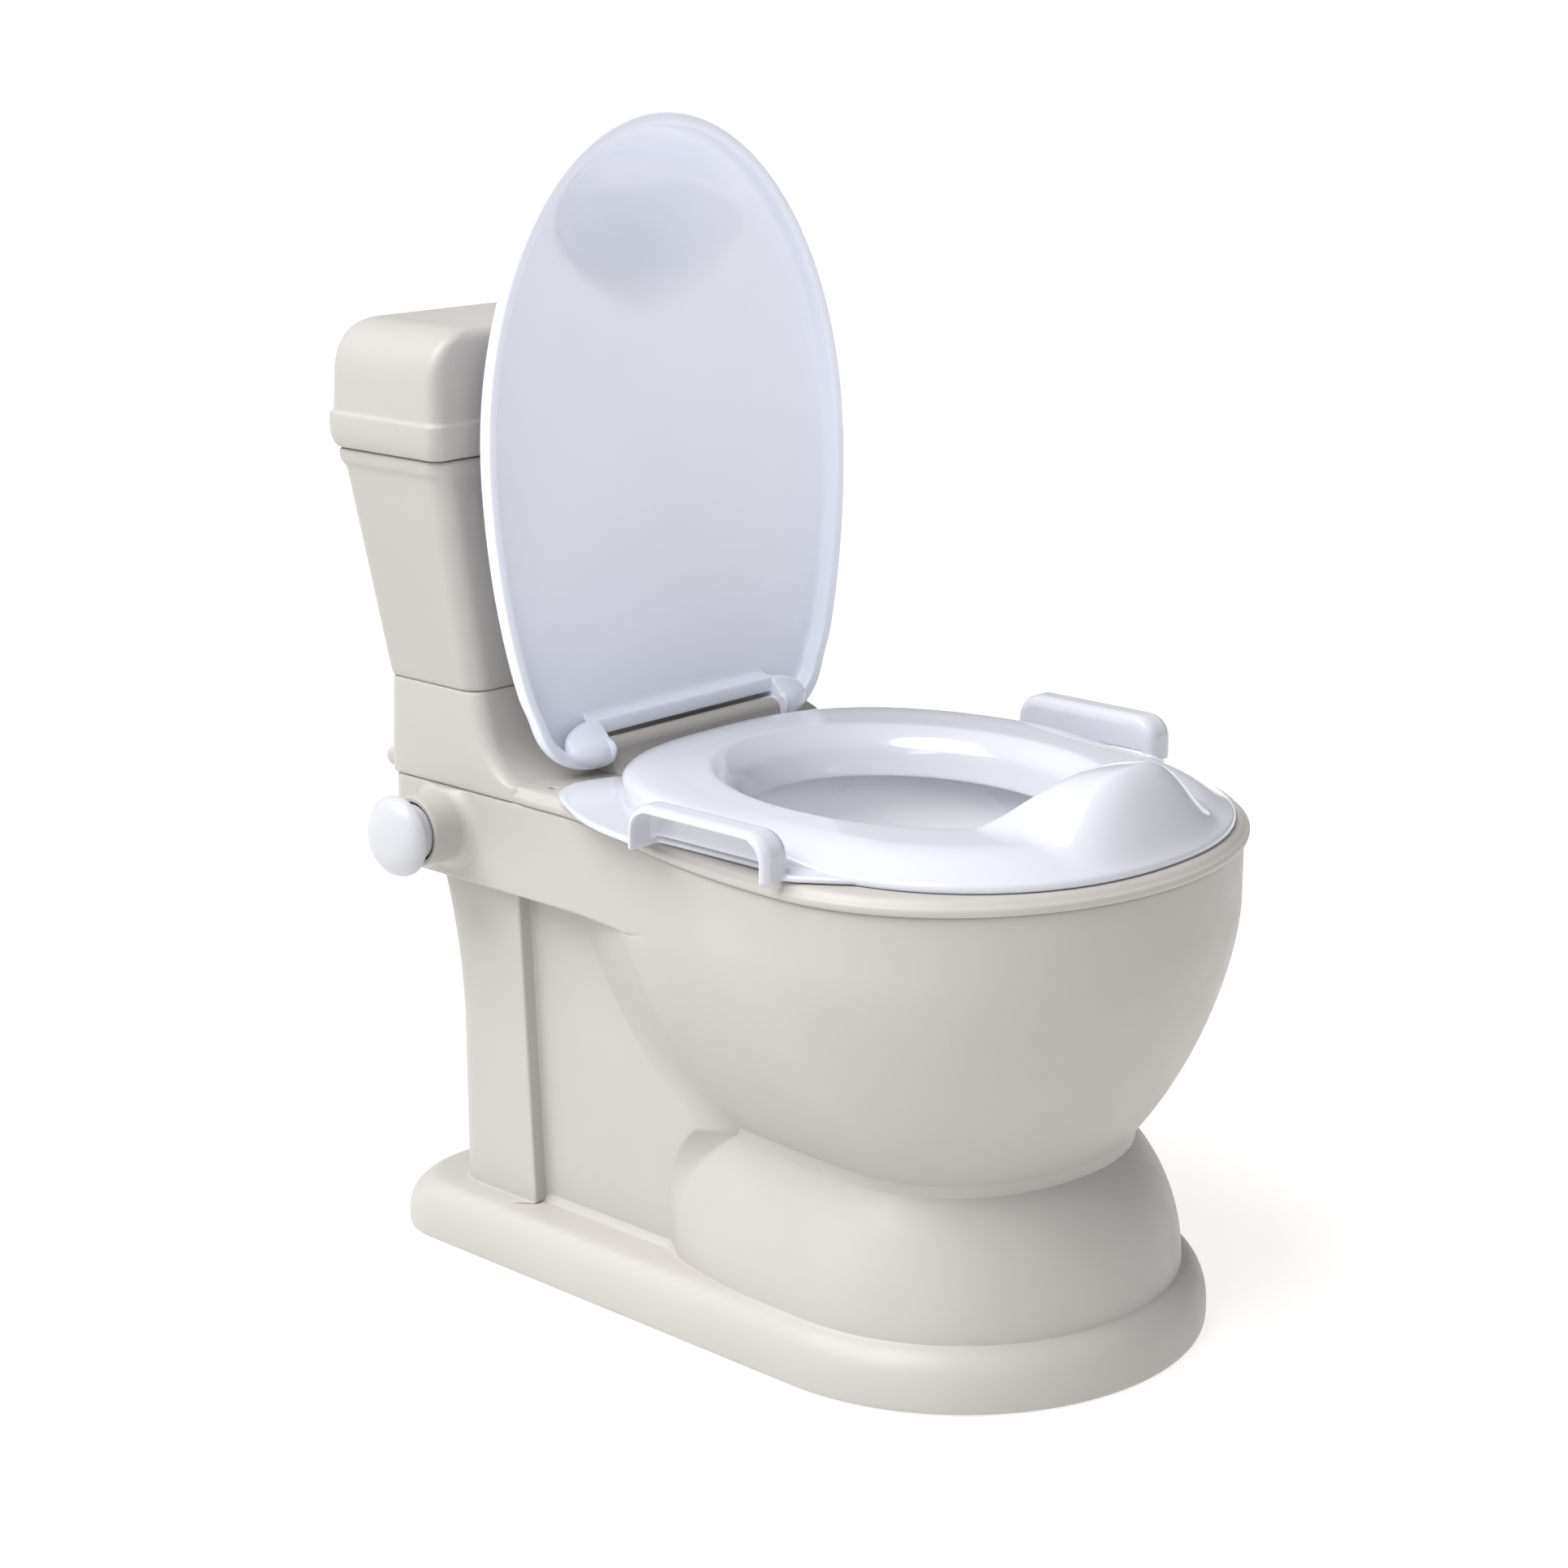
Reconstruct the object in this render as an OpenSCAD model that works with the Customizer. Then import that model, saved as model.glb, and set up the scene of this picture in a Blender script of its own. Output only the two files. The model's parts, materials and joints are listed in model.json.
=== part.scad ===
// Potty training chair shaped like a small toilet: a hollow base with a deck, a tank with a
// lift-off lid, a hinged cover, a lift-off training seat, a lift-out pot and a push knob that
// works a flush-sound unit.
// Millimetres. +Z is up, the bowl points to -Y and the knob is on the -X side. The origin is on
// the floor, at the centre of the overall outline.

/* [Overall] */
// Distance from the origin forward to the bowl's own axis
bowl_axis = 81; // [75:1:90]
// Wall thickness of the moulded shells
wall = 3; // [2.4:0.2:3.6]

/* [Base] */
// Half width of the plinth
plinth_half = 119.5; // [116:0.5:122]
// Height of the plinth's ledge
plinth_h = 29; // [24:1:34]
// Rear edge of the plinth, behind the bowl axis
plinth_rear = 280; // [274:1:284]
// Height of the crease where the bowl meets the foot
crease_z = 93; // [88:1:98]
// Half width of the recessed side panels
panel_half = 91; // [88:1:94]
// Half width of the rear column
column_half = 99; // [96:1:102]
// Height of the step under the side beams
beam_z = 190; // [184:1:196]
// Half width across the side beams
beam_half = 108; // [106:1:110]

/* [Bowl] */
// Half width of the bowl at its widest
bowl_a = 134; // [128:1:136]
// Distance from the bowl's centre to its front
bowl_b = 115; // [110:1:116]
// Height of the joint between base and deck
seam_z = 236; // [230:1:240]

/* [Deck] */
// Height of the deck's top face
deck_z = 244; // [242:0.5:246]
// Half width of the pot opening
opening_a = 92; // [88:1:94]
// Half length of the pot opening
opening_b = 104; // [98:1:106]

/* [Hinge] */
// Height of the hinge axis
hinge_z = 257; // [256:0.5:259]
// Distance of the hinge axis behind the bowl axis
hinge_y = 177; // [175:1:179]
// Backward lean of the open cover in degrees
cover_lean = 3; // [1:0.5:3.5]
// Radius of the hinge pins
pin_r = 3.5; // [3:0.25:4]

/* [Tank] */
// Height of the joint between collar and tank
tank_z = 285; // [280:1:290]
// Height of the joint between tank and tank lid
lid_z = 399; // [390:1:402]
// Height of the top of the tank lid
top_z = 459; // [450:1:462]
// Half width of the tank at its foot
tank_low = 108; // [106:1:109]
// Half width of the tank under its lid
tank_high = 130; // [126:1:132]
// Half width of the lip under the lid
tank_half_in = 124.0; // [123:0.2:124.4]

/* [Seat] */
// Half width of the training seat's lip
seat_a = 122; // [120:1:124]
// Distance from the bowl axis to the seat's front lip
seat_b = 117; // [114:1:118]
// Height of the seat ring's top
seat_z = 258; // [256:0.5:259]
// Height of the splash guard's peak
guard_z = 287; // [276:1:288]
// Half width across the grab handles
handle_half = 147; // [146:0.5:148]

/* [Knob] */
// Distance of the knob's axis behind the bowl axis
knob_y = 237; // [232:1:240]
// Height of the knob's axis
knob_z = 217; // [214:1:219]
// Radius of the knob
knob_r = 20; // [18:0.5:21]
// Travel of the knob when it is pushed
knob_travel = 4; // [2:0.5:4]

/* [Hidden] */
$fn = 48;
quarter_n = 14;      // points on the front quarter of an outline
side_n = 8;          // points along an outline's side
corner_n = 4;        // points round a rear corner
seat_wall = 2.6;
bowl_y0 = -6;        // widest place of the bowl, from the bowl axis
bowl_back = 230;     // reach of the bowl's long rear curve
foot_a = 108;
foot_b = 103;
column_rear = 245;
beam_rear = 278;
deck_rear = 281;
deck_a = 136.5;
deck_b = 117.5;
opening_y = 30;      // centre of the pot opening, behind the bowl axis
ledge = 3.5;         // depth of the recess that holds the pot's flange
ear_r = 11;
ear_in = 60;
ear_out = 92;
barrel_half = 59.5;
barrel_r = 7.5;
cover_len = 296;
cover_half = 122;
cover_mid = 135;     // widest place of the cover, forward of the hinge
dish_s = 262;        // centre of the cover's dish, forward of the hinge
dish_depth = 22;
hole_clear = 0.05;   // running clearance on a pin
screw_r = 2;
deck_hole_r = 2;     // small hole at each rear corner of the flat deck
lug_z = 198;         // underside of the lugs that take the deck screws
neck_r = 14;         // neck of the push knob
pocket_x = 110;      // floor of the neck's pocket, from the middle of the chair
cover_foot = -2;     // reach of the cover's hinge end behind the hinge axis
deck_screw_xy = [[84, 150], [84, 206], [50, -88]];
tank_screw_xy = [[72, 232], [72, 262]];
screw_thread = 1.7;  // radius of a screw in its pilot hole
foot_xy = [[109, 20], [109, 238], [45, -96.5]];
foot_r = 6.8;
foot_h = 2.6;
gap = 0.1;           // lift of the loose parts over the face they rest on
boss_x = 129.5;      // outer end of the knob boss
stem_r = 4;
neck_x = 122;        // inner end of the knob's neck
clip_x = 102.4;      // inner end of the stem's full-size part
stem_end = 96;       // inner end of the stem, from the middle of the chair
case_x0 = -88;       // flush-sound unit's case
case_x1 = -8;
case_y0 = 228;
case_y1 = 275;
case_z0 = 198;
case_z1 = 231;
bay_y = 250;         // back wall of the electronics bay
cell_bay_x0 = -72;   // battery bay
cell_bay_len = 47.5;
cell_r = 5.25;
cell_len = 44.5;
cell_z = [208, 220];
coil = 1.4;          // length of a contact's coil under load
plate = 0.8;         // thickness of a contact plate
door_x0 = -75;       // window for the battery door
door_w = 65;
door_z0 = 201;
door_h = 26;
door_screw_x = -16;
board_x = -76;       // circuit board's left edge and front face
board_y = 239;
button_r = 2;
speaker_x = -29.2;
speaker_z = 214.5;

// Closed solid through a list of rings that all have the same number of points. With loop the
// last ring joins the first, and without it both ends are closed to their middle points.
module skin(rings, loop = false) {
    n = len(rings[0]);
    m = len(rings);
    flat = [for (r = rings) each r];
    middle = [for (r = [rings[0], rings[m - 1]]) [for (k = [0:2]) sum([for (p = r) p[k]]) / n]];
    walls = [for (i = [0:(loop ? m - 1 : m - 2)], j = [0:n - 1])
        let (a = i * n + j, b = i * n + (j + 1) % n,
            d = ((i + 1) % m) * n + j, c = ((i + 1) % m) * n + (j + 1) % n)
        each [[a, d, c], [a, c, b]]];
    first = [for (j = [0:n - 1]) [m * n, j, (j + 1) % n]];
    last = [for (j = [0:n - 1]) [m * n + 1, (m - 1) * n + (j + 1) % n, (m - 1) * n + j]];
    polyhedron(points = loop ? flat : concat(flat, middle),
        faces = loop ? walls : concat(walls, first, last), convexity = 10);
}

function sum(v, i = 0) = i < len(v) ? v[i] + sum(v, i + 1) : 0;

// Whole outline, anticlockwise from above, from its +X half that runs from front to rear
function mirrored(half) = concat(half,
    [for (i = [len(half) - 2:-1:1]) [-half[i][0], half[i][1]]]);

function at_height(outline, z) = [for (p = outline) [p[0], p[1], z]];

// Half width of the side curve at y, behind its widest place y0
function side_x(a, y0, back, power, y) =
    a * pow(max(0, 1 - pow(max(0, y - y0) / back, power)), 1 / power);

// Outline of the moulded body, inset by t. a and b are the half width and front reach about
// y0. The side curve runs to y = side_end, then comes to the panel at panel_start, steps out to
// the column at col_y and turns the rear corner of radius rc.
function body_outline(a, b, y0, back, power, side_end, panel_start, panel, col_y, col, rear,
        rc, t = 0) = mirrored(concat(
    [for (k = [0:quarter_n]) let (q = 90 * k / quarter_n)
        [(a - t) * sin(q), y0 - (b - t) * cos(q)]],
    [for (k = [1:side_n]) let (y = y0 + (side_end - y0) * k / side_n)
        [max(side_x(a, y0, back, power, y), min(panel, a) - 12) - t, y]],
    [[panel - t, panel_start], [panel - t, col_y + t],
        [col - t, col_y + t + (panel == col ? 4 : 0)]],
    [for (k = [0:corner_n]) let (q = 90 * k / corner_n)
        [col - t - rc + rc * cos(q), rear - t - rc + rc * sin(q)]],
    [for (k = [3:-1:0]) [(col - t - rc) * k / 4, rear - t]]));

// How far the bowl has drawn in at height z, as a share of its widest
function bowl_share(z) = sqrt(1 - pow(max(0, 205 - z) / 150, 1.6));
// The same for the domed foot
function foot_share(z) = sqrt(1 - pow((z - plinth_h) / 97, 2));
// Front and rear edges of the slanted band beside the bowl
function band_front(z) = 68 + 0.44 * (z - 98);
function band_rear(z) = 93 + 1.2 * (z - 98) - 0.0048 * pow(z - 98, 2);
function column_front(z) = 187.5 + 0.05 * z;
function column_back(z) = column_rear + 13 * pow(max(0, z - 110) / 80, 2);

function plinth_ring(z, t) = at_height(body_outline(plinth_half, plinth_half - 3.5, 0, 9000, 2,
    98, 104, plinth_half, 190, plinth_half, plinth_rear, 30, t), z);
function foot_ring(z, t = 0) = let (s = foot_share(z)) at_height(body_outline(foot_a * s,
    foot_b * s, 0, 145, 3, 93, 103.5 - 10 * pow(max(0, z - 60) / 38, 2), panel_half,
    column_front(z), column_half, column_back(z), 12, t), z);
function bowl_ring(z, t = 0) = let (s = bowl_share(z)) at_height(body_outline(bowl_a * s,
    bowl_b * s, bowl_y0, bowl_back, 2, band_front(z), band_rear(z), panel_half,
    column_front(z), column_half, column_back(z), 12, t), z);
function beam_ring(z, t = 0) = let (s = bowl_share(z)) at_height(body_outline(bowl_a * s,
    bowl_b * s, bowl_y0, bowl_back, 2, 125, 158, beam_half, 196, beam_half, beam_rear, 9, t), z);
function deck_ring(z, t) = at_height(body_outline(deck_a, deck_b, bowl_y0, bowl_back, 2, 128,
    158, beam_half + 1, 196, beam_half + 1, deck_rear, 9, t), z);

// Ellipse about the pot opening's centre, with one point towards each point of the deck ring
function opening_ring(z, a, b) = [for (p = deck_ring(z, 0))
    let (x = p[0], y = p[1] - opening_y, k = 1 / sqrt(x * x / (a * a) + y * y / (b * b)))
    [x * k, opening_y + y * k, z]];

module from_bowl() {
    translate([0, -bowl_axis, 0]) children();
}

module both_sides() {
    children();
    mirror([1, 0, 0]) children();
}

// Base: plinth, foot, bowl, side panels, column and side beams in one hollow moulding
module base_shell() {
    outer = [plinth_ring(0.8, 0.9), plinth_ring(2, 0), plinth_ring(12, 0.3),
        plinth_ring(18, 1.6), plinth_ring(23, 4.2), plinth_ring(27, 8.2),
        plinth_ring(plinth_h - 0.4, 11.2), foot_ring(plinth_h), foot_ring(42), foot_ring(56),
        foot_ring(68), foot_ring(80), foot_ring(crease_z - 3),
        for (z = [crease_z, 98, 106, 116, 128, 142, 158, 174, beam_z - 0.8]) bowl_ring(z),
        beam_ring(beam_z), beam_ring(beam_z + 1.2, -0.4), beam_ring(212), beam_ring(seam_z)];
    inner = [beam_ring(seam_z, wall), beam_ring(beam_z + wall, wall),
        for (z = [beam_z + wall - 1, 158, 128, crease_z + 3]) bowl_ring(z, wall),
        foot_ring(crease_z - 5, wall), foot_ring(60, wall), foot_ring(plinth_h - 2, wall),
        plinth_ring(plinth_h - 5, 11.2), plinth_ring(16, wall + 2), plinth_ring(0.8, wall + 1)];
    color("#dddad5") from_bowl() difference() {
        union() {
            skin(concat(outer, inner), loop = true);
            knob_boss();
            // lugs for the deck screws
            both_sides() for (p = [deck_screw_xy[0], deck_screw_xy[1]])
                translate([p[0] - 7, p[1] - 7, lug_z]) cube([beam_half - p[0] + 6, 14, 4]);
            both_sides() translate([deck_screw_xy[2][0] - 7, deck_screw_xy[2][1] - 21.5, lug_z])
                cube([14, 28.5, 4]);
            // ribs under the flush-sound unit
            for (x = [case_x0 + 4, case_x1 - 8])
                translate([x, case_y1 - 35, beam_z + 1]) cube([4, 36, case_z0 - beam_z - 1]);
            // pads over the rubber feet
            both_sides() for (p = foot_xy) translate([p[0], p[1], 0.8]) cylinder(r = 9, h = 5);
        }
        both_sides() for (p = foot_xy) translate([p[0], p[1], 0]) cylinder(r = foot_r, h = foot_h);
        both_sides() for (p = deck_screw_xy)
            translate([p[0], p[1], lug_z - 1]) cylinder(r = screw_r + 0.25, h = 6);
        // knob neck's pocket and the stem's guide bore
        translate([-boss_x - 1, knob_y, knob_z]) rotate([0, 90, 0])
            cylinder(r = neck_r + 0.5, h = boss_x + 1 - pocket_x);
        translate([-boss_x - 1, knob_y, knob_z]) rotate([0, 90, 0])
            cylinder(r = stem_r + hole_clear, h = 40);
        // battery door's window in the rear wall
        translate([door_x0, case_y1 - 1, door_z0]) cube([door_w, 6, door_h]);
    }
}

// Boss that carries the push knob, with a flared root that stops at the beam's edges
module knob_boss() {
    length = boss_x - beam_half + wall;
    intersection() {
        translate([-beam_half + wall, knob_y, knob_z]) rotate([0, -90, 0])
            rotate_extrude() polygon([[0, 0], [26, 0], [26, wall], [23, 6], [20.5, 10],
                [18.5, 15], [18, length - 1], [17, length], [0, length]]);
        translate([-boss_x - 1, knob_y - 40, beam_z]) cube([boss_x, 80, seam_z - beam_z]);
    }
}

// Deck: the rim round the bowl, the flat deck, the hinge barrel and the collar under the tank
module deck() {
    rings = [deck_ring(seam_z, 1.2), deck_ring(seam_z + 1.2, 0), deck_ring(deck_z - 4, 0.2),
        deck_ring(deck_z - 1.6, 1.6), deck_ring(deck_z, 5),
        opening_ring(deck_z, opening_a + 8, opening_b + 8),
        opening_ring(deck_z - ledge, opening_a + 8, opening_b + 8),
        opening_ring(deck_z - ledge, opening_a, opening_b),
        opening_ring(deck_z - ledge - wall, opening_a, opening_b),
        opening_ring(deck_z - ledge - wall, opening_a + 11, opening_b + 11),
        opening_ring(deck_z - wall, opening_a + 11, opening_b + 11), deck_ring(deck_z - wall, 6),
        deck_ring(seam_z, 5)];
    color("#dddad5") from_bowl() difference() {
        union() {
            skin(rings, loop = true);
            skin([collar_ring(deck_z - 1, 0), collar_ring(deck_z + 3, 2.6),
                collar_ring(deck_z + 8, 4.6), collar_ring(tank_z, 0, false)]);
            translate([0, hinge_y, hinge_z]) rotate([0, 90, 0])
                cylinder(r = barrel_r, h = 2 * barrel_half, center = true);
            translate([-barrel_half, hinge_y - 5.5, deck_z - 1])
                cube([2 * barrel_half, 11, hinge_z - deck_z]);
            both_sides() for (p = deck_screw_xy) translate([p[0], p[1], lug_z + 4])
                cylinder(r = 5, h = deck_z - wall - lug_z - 3.8);
        }
        // hollow under the collar
        translate([-tank_low + 6, 222, seam_z - 1])
            cube([2 * tank_low - 12, 50, tank_z - seam_z - wall + 1]);
        both_sides() translate([barrel_half - 12, hinge_y, hinge_z]) rotate([0, 90, 0])
            cylinder(r = pin_r + hole_clear, h = 20);
        both_sides() for (p = deck_screw_xy)
            translate([p[0], p[1], lug_z]) cylinder(r = screw_thread, h = 18);
        both_sides() for (p = tank_screw_xy)
            translate([p[0], p[1], tank_z - 10]) cylinder(r = screw_r + 0.25, h = 20);
        both_sides() translate([96, 173, deck_z - 10]) cylinder(r = deck_hole_r, h = 20);
    }
}

// Rounded rectangle of half width w from y0 to y1 with corner radius r
function box_outline(w, y0, y1, r, n = 6) = mirrored(concat([[0, y0]],
    [for (k = [0:n]) let (q = 90 * k / n) [w - r + r * sin(q), y0 + r - r * cos(q)]],
    [for (k = [0:n]) let (q = 90 * k / n) [w - r + r * cos(q), y1 - r + r * sin(q)]],
    [[0, y1]]));

// Collar outline: its front foot sweeps forward onto the deck
function collar_ring(z, lift, low = true) = at_height(box_outline(tank_low,
    low ? 203 - 14 * pow(1 - min(1, lift / 4.6), 2) : 214, low ? 279.5 : 278, 8), z);

// Tank outline at height z, widening upwards, inset by t
function tank_ring(z, t = 0) = let (k = (z - tank_z) / (lid_z - tank_z))
    at_height(box_outline(tank_low + (tank_high - tank_low) * k - t, 214 - 3 * k + t,
        278 + 5 * k - t, 12), z);

module tank_shell() {
    color("#d8d5d0") from_bowl() difference() {
        skin([tank_ring(tank_z, 0.4), tank_ring(tank_z + 1), tank_ring(lid_z - 8),
            tank_ring(lid_z - 7, -1.5), tank_ring(lid_z - 1, -1.5), tank_ring(lid_z - 0.3, -1),
            tank_ring(lid_z - 0.3, wall), tank_ring(tank_z + 4, wall)]);
        both_sides() for (p = tank_screw_xy)
            translate([p[0], p[1], tank_z - 1]) cylinder(r = screw_thread, h = 8);
    }
}

// Lid outline at height z, inset by t from the band's widest line
function lid_ring(z, t) = at_height(box_outline(tank_high + 5 - t, 207 + t, 286 - t,
    max(4, 15 - t)), z);

// Lid: inside surface from the crown down to the lip that locates it, then up the outside
module tank_lid() {
    step_z = lid_z + 17;
    edge_r = 18;
    dome_z = top_z - edge_r;
    lip = 5 + tank_high - tank_half_in;
    inner = [lid_ring(top_z - wall, edge_r + 4), lid_ring(top_z - wall - 4, 4 + wall + 6),
        lid_ring(dome_z - 2, 4 + wall), lid_ring(lid_z + 9, 3 + wall),
        lid_ring(lid_z + 4, lip + 2.4), lid_ring(lid_z - 6, lip + 2.4), lid_ring(lid_z - 6, lip),
        lid_ring(lid_z, lip)];
    outer = [lid_ring(lid_z, 5.5), lid_ring(lid_z + 3, 2), lid_ring(lid_z + 9, 0),
        lid_ring(step_z - 2, 0), lid_ring(step_z, 2.8), lid_ring(dome_z, 4),
        for (q = [18:18:90]) lid_ring(dome_z + edge_r * sin(q), 4 + edge_r * (1 - cos(q)))];
    color("#dddad5") from_bowl() skin(concat(inner, outer));
}

// Half width of the cover at distance s forward of the hinge
function cover_w(s) = s > cover_mid
    ? cover_half * sqrt(max(0, 1 - pow((s - cover_mid) / (cover_len - cover_mid), 2)))
    : cover_half * sqrt(1 - pow((cover_mid - s) / 217, 2));

// Cover outline in its closed pose about the hinge, from tip to hinge end and back
cover_outline = mirrored(concat(
    [for (k = [0:14]) let (q = 90 * k / 14)
        [cover_half * sin(q), -cover_mid - (cover_len - cover_mid) * cos(q)]],
    [for (k = [1:9]) let (s = cover_mid * (1 - k / 10)) [cover_w(s), -s]],
    [for (k = [0:3]) let (q = 90 * k / 3)
        [cover_w(6) - 12 + 12 * cos(q), -cover_foot - 12 + 12 * sin(q)]],
    [[0, -cover_foot]]));

// Extra height of the dish and its bulge at a point of the cover
function dish(x, y) = let (r = pow(x / 66, 2) + pow((-y - dish_s) / 47, 2))
    r < 1 ? dish_depth * pow(1 - r, 0.9) : 0;

function cover_ring(k, z, bulge = true) = [for (p = cover_outline)
    let (x = p[0] * k, y = -cover_mid + (p[1] + cover_mid) * k)
    [x, y, z + (bulge ? dish(x, y) : 0)]];

// Hinged cover in its closed pose, with the hinge axis on the X axis
module cover_closed() {
    outer = [cover_ring(1, 0, false), cover_ring(1, 5, false), cover_ring(0.985, 9.5, false),
        cover_ring(0.955, 12, false), cover_ring(0.9, 13.2), cover_ring(0.78, 14.6),
        cover_ring(0.64, 15.6), cover_ring(0.48, 16.6), cover_ring(0.3, 17.3),
        cover_ring(0.12, 17.6)];
    inner = [cover_ring(0.955, -1, false), cover_ring(0.955, 0.01, false),
        cover_ring(0.935, 8, false), cover_ring(0.905, 10), cover_ring(0.78, 11.2),
        cover_ring(0.64, 12.4), cover_ring(0.48, 13.4), cover_ring(0.3, 14.1),
        cover_ring(0.12, 14.4)];
    difference() {
        union() {
            difference() {
                skin(outer);
                skin(inner);
            }
            both_sides() translate([ear_in, 0, 0]) rotate([0, 90, 0])
                cylinder(r = ear_r, h = ear_out - ear_in);
            both_sides() translate([ear_in, -14, 0]) cube([ear_out - ear_in - 2, 14, 10]);
        }
        // clearance round the hinge barrel
        translate([-ear_in, -10, -20]) cube([2 * ear_in, 30, 60]);
        both_sides() translate([ear_in - 1, 0, 0]) rotate([0, 90, 0])
            cylinder(r = pin_r, h = 16);
    }
}

module seat_cover() {
    color("#e9eaf2") from_bowl() translate([0, hinge_y, hinge_z])
        rotate([-90 - cover_lean, 0, 0]) cover_closed();
}

module hinge_pins() {
    color("#e9eaf2") from_bowl() both_sides() translate([barrel_half - 8, hinge_y, hinge_z])
        rotate([0, 90, 0]) cylinder(r = pin_r, h = ear_in + 15 - barrel_half + 8);
}

// Outline of the seat's lip, inset by t
function seat_outline(t) = mirrored(concat(
    [for (j = [0:16]) let (q = 90 * j / 16)
        [(seat_a - t) * pow(sin(q), 2 / 2.2), -(seat_b - t) * pow(cos(q), 2 / 2.2)]],
    [for (j = [1:16]) let (q = 90 * j / 16)
        [(seat_a - t) * pow(cos(q), 2 / 2.8), (166 - t) * pow(sin(q), 2 / 2.8)]]));

// Ring about the seat's opening, with one point towards each point of the lip
function seat_hole(a, b, z, rise = 0) = [for (p = seat_outline(0))
    let (y = p[1] - 33, k = 1 / sqrt(pow(p[0] / a, 2) + pow(y / b, 2)))
    [p[0] * k, 33 + y * k, z + (p[1] < 0 ? rise * guard(p[0] * k) : 0)]];

// Share of the splash guard's height at a distance x from the middle
function guard(x) = abs(x) < 62 ? pow(cos(90 * x / 62), 1.6) : 0;

function seat_ring(t, z, rise = 0) = [for (p = seat_outline(t))
    [p[0], p[1], z + (p[1] < 0 ? rise * guard(p[0]) : 0)]];

module training_seat() {
    peak = guard_z - seat_z;
    base_z = deck_z + gap;
    under = seat_wall;
    rings = [seat_ring(2, base_z), seat_ring(0, base_z + 1.5), seat_ring(0.6, base_z + 4),
        seat_ring(5, seat_z - 5.5, 0.12 * peak), seat_ring(12, seat_z - 1.6, 0.5 * peak),
        seat_ring(20, seat_z, peak), seat_ring(28, seat_z + 0.4, 1.02 * peak),
        seat_hole(84, 104, seat_z - 0.4, 0.9 * peak), seat_hole(76, 95, seat_z - 4, 0.5 * peak),
        seat_hole(71, 87, seat_z - 11, 0.1 * peak), seat_hole(68, 82, 236),
        seat_hole(68 + under, 82 + under, 236),
        seat_hole(71 + under, 87 + under, seat_z - 13, 0.1 * peak),
        seat_hole(76 + under, 95 + under, seat_z - 7, 0.5 * peak),
        seat_hole(86, 106, seat_z - 3.4, 0.88 * peak), seat_ring(27, seat_z - 2.8, peak),
        seat_ring(20.5, seat_z - 3.2, 0.96 * peak), seat_ring(13.5, seat_z - 5, 0.46 * peak),
        seat_ring(7.5, seat_z - 8.5, 0.1 * peak), seat_ring(4.4, base_z + 2),
        seat_ring(4.6, base_z)];
    color("#eceef6") from_bowl() {
        skin(rings, loop = true);
        both_sides() wing();
        both_sides() handle();
    }
}

// Side flange: a thin plate that spreads from under the ring out to the handle
module wing() {
    translate([0, 0, deck_z + gap]) linear_extrude(3) polygon(concat(
        [[96, 110], [78, 145]],
        [for (q = [100:-10:0]) [96 + 26 * cos(q), 137 + 24 * sin(q)]],
        [[handle_half - 13, 96], [handle_half - 3, 74], [handle_half - 3, 68],
            [handle_half - 15.5, 68], [handle_half - 15.5, -4], [handle_half - 3, -4],
            [handle_half - 6, -14], [124, -36], [114, -48], [105, -40], [112, 0], [110, 60]]));
}

// Grab handle: a hood that is open outwards and downwards between its two legs
module handle() {
    z0 = deck_z + gap;
    color("#eceef6") difference() {
        hull() {
            for (y = [-8, 72]) translate([handle_half - 15.5, y, z0])
                cylinder(r = 2.5, h = 4, $fn = 16);
            for (y = [-7, 71]) translate([handle_half - 4, y, z0])
                cylinder(r = 4, h = 4, $fn = 16);
            for (y = [-2, 66], x = [15, 5]) translate([handle_half - x, y, 262])
                sphere(r = 4, $fn = 16);
        }
        translate([handle_half - 13.5, -4, z0 - 1]) cube([20, 72, 262.5 - z0]);
    }
}

// Lift-out pot: an oval bowl whose flange rests in the deck's recess
function pot_ring(a, b, z) = [for (j = [0:47]) let (q = 7.5 * j)
    [a * sin(q), opening_y - b * cos(q), z]];

module pot() {
    rim_z = deck_z - ledge;
    outer = [pot_ring(56, 66, 108), pot_ring(66, 76, 110), pot_ring(74, 85, 118),
        pot_ring(81, 92.5, 150), pot_ring(88, 100, rim_z - 8), pot_ring(90, 102, rim_z - 3),
        pot_ring(90.5, 102.5, rim_z + 0.1), pot_ring(98.5, 110.5, rim_z + 0.1),
        pot_ring(99, 111, rim_z + 1.2), pot_ring(98, 110, rim_z + 2.6),
        pot_ring(89.5, 101.5, rim_z + 2.9)];
    inner = [pot_ring(87.4, 99.4, rim_z + 1), pot_ring(85.4, 97.4, rim_z - 8),
        pot_ring(78.4, 90, 150), pot_ring(71.4, 82.4, 120), pot_ring(63, 73, 112.6),
        pot_ring(50, 60, 110.8)];
    color("#f1f2f7") from_bowl() skin(concat(outer, inner));
}

module on_knob_axis() {
    translate([0, -bowl_axis + knob_y, knob_z]) rotate([0, -90, 0]) children();
}

// Push knob: a shallow dome on a neck that slides into the boss
module flush_knob() {
    back_x = boss_x + knob_travel + 0.5;
    color("#f2f2f4") on_knob_axis() difference() {
        rotate_extrude() polygon(concat([[0, neck_x], [neck_r, neck_x], [neck_r, back_x],
            [knob_r - 3, back_x]],
            [for (q = [-60:15:90]) [knob_r * pow(cos(q), 0.75),
                back_x + 4.6 + (q > 0 ? 9 : 4.6) * sin(q)]]));
        translate([0, 0, neck_x - 1]) cylinder(r = stem_r, h = 12);
    }
}

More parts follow.
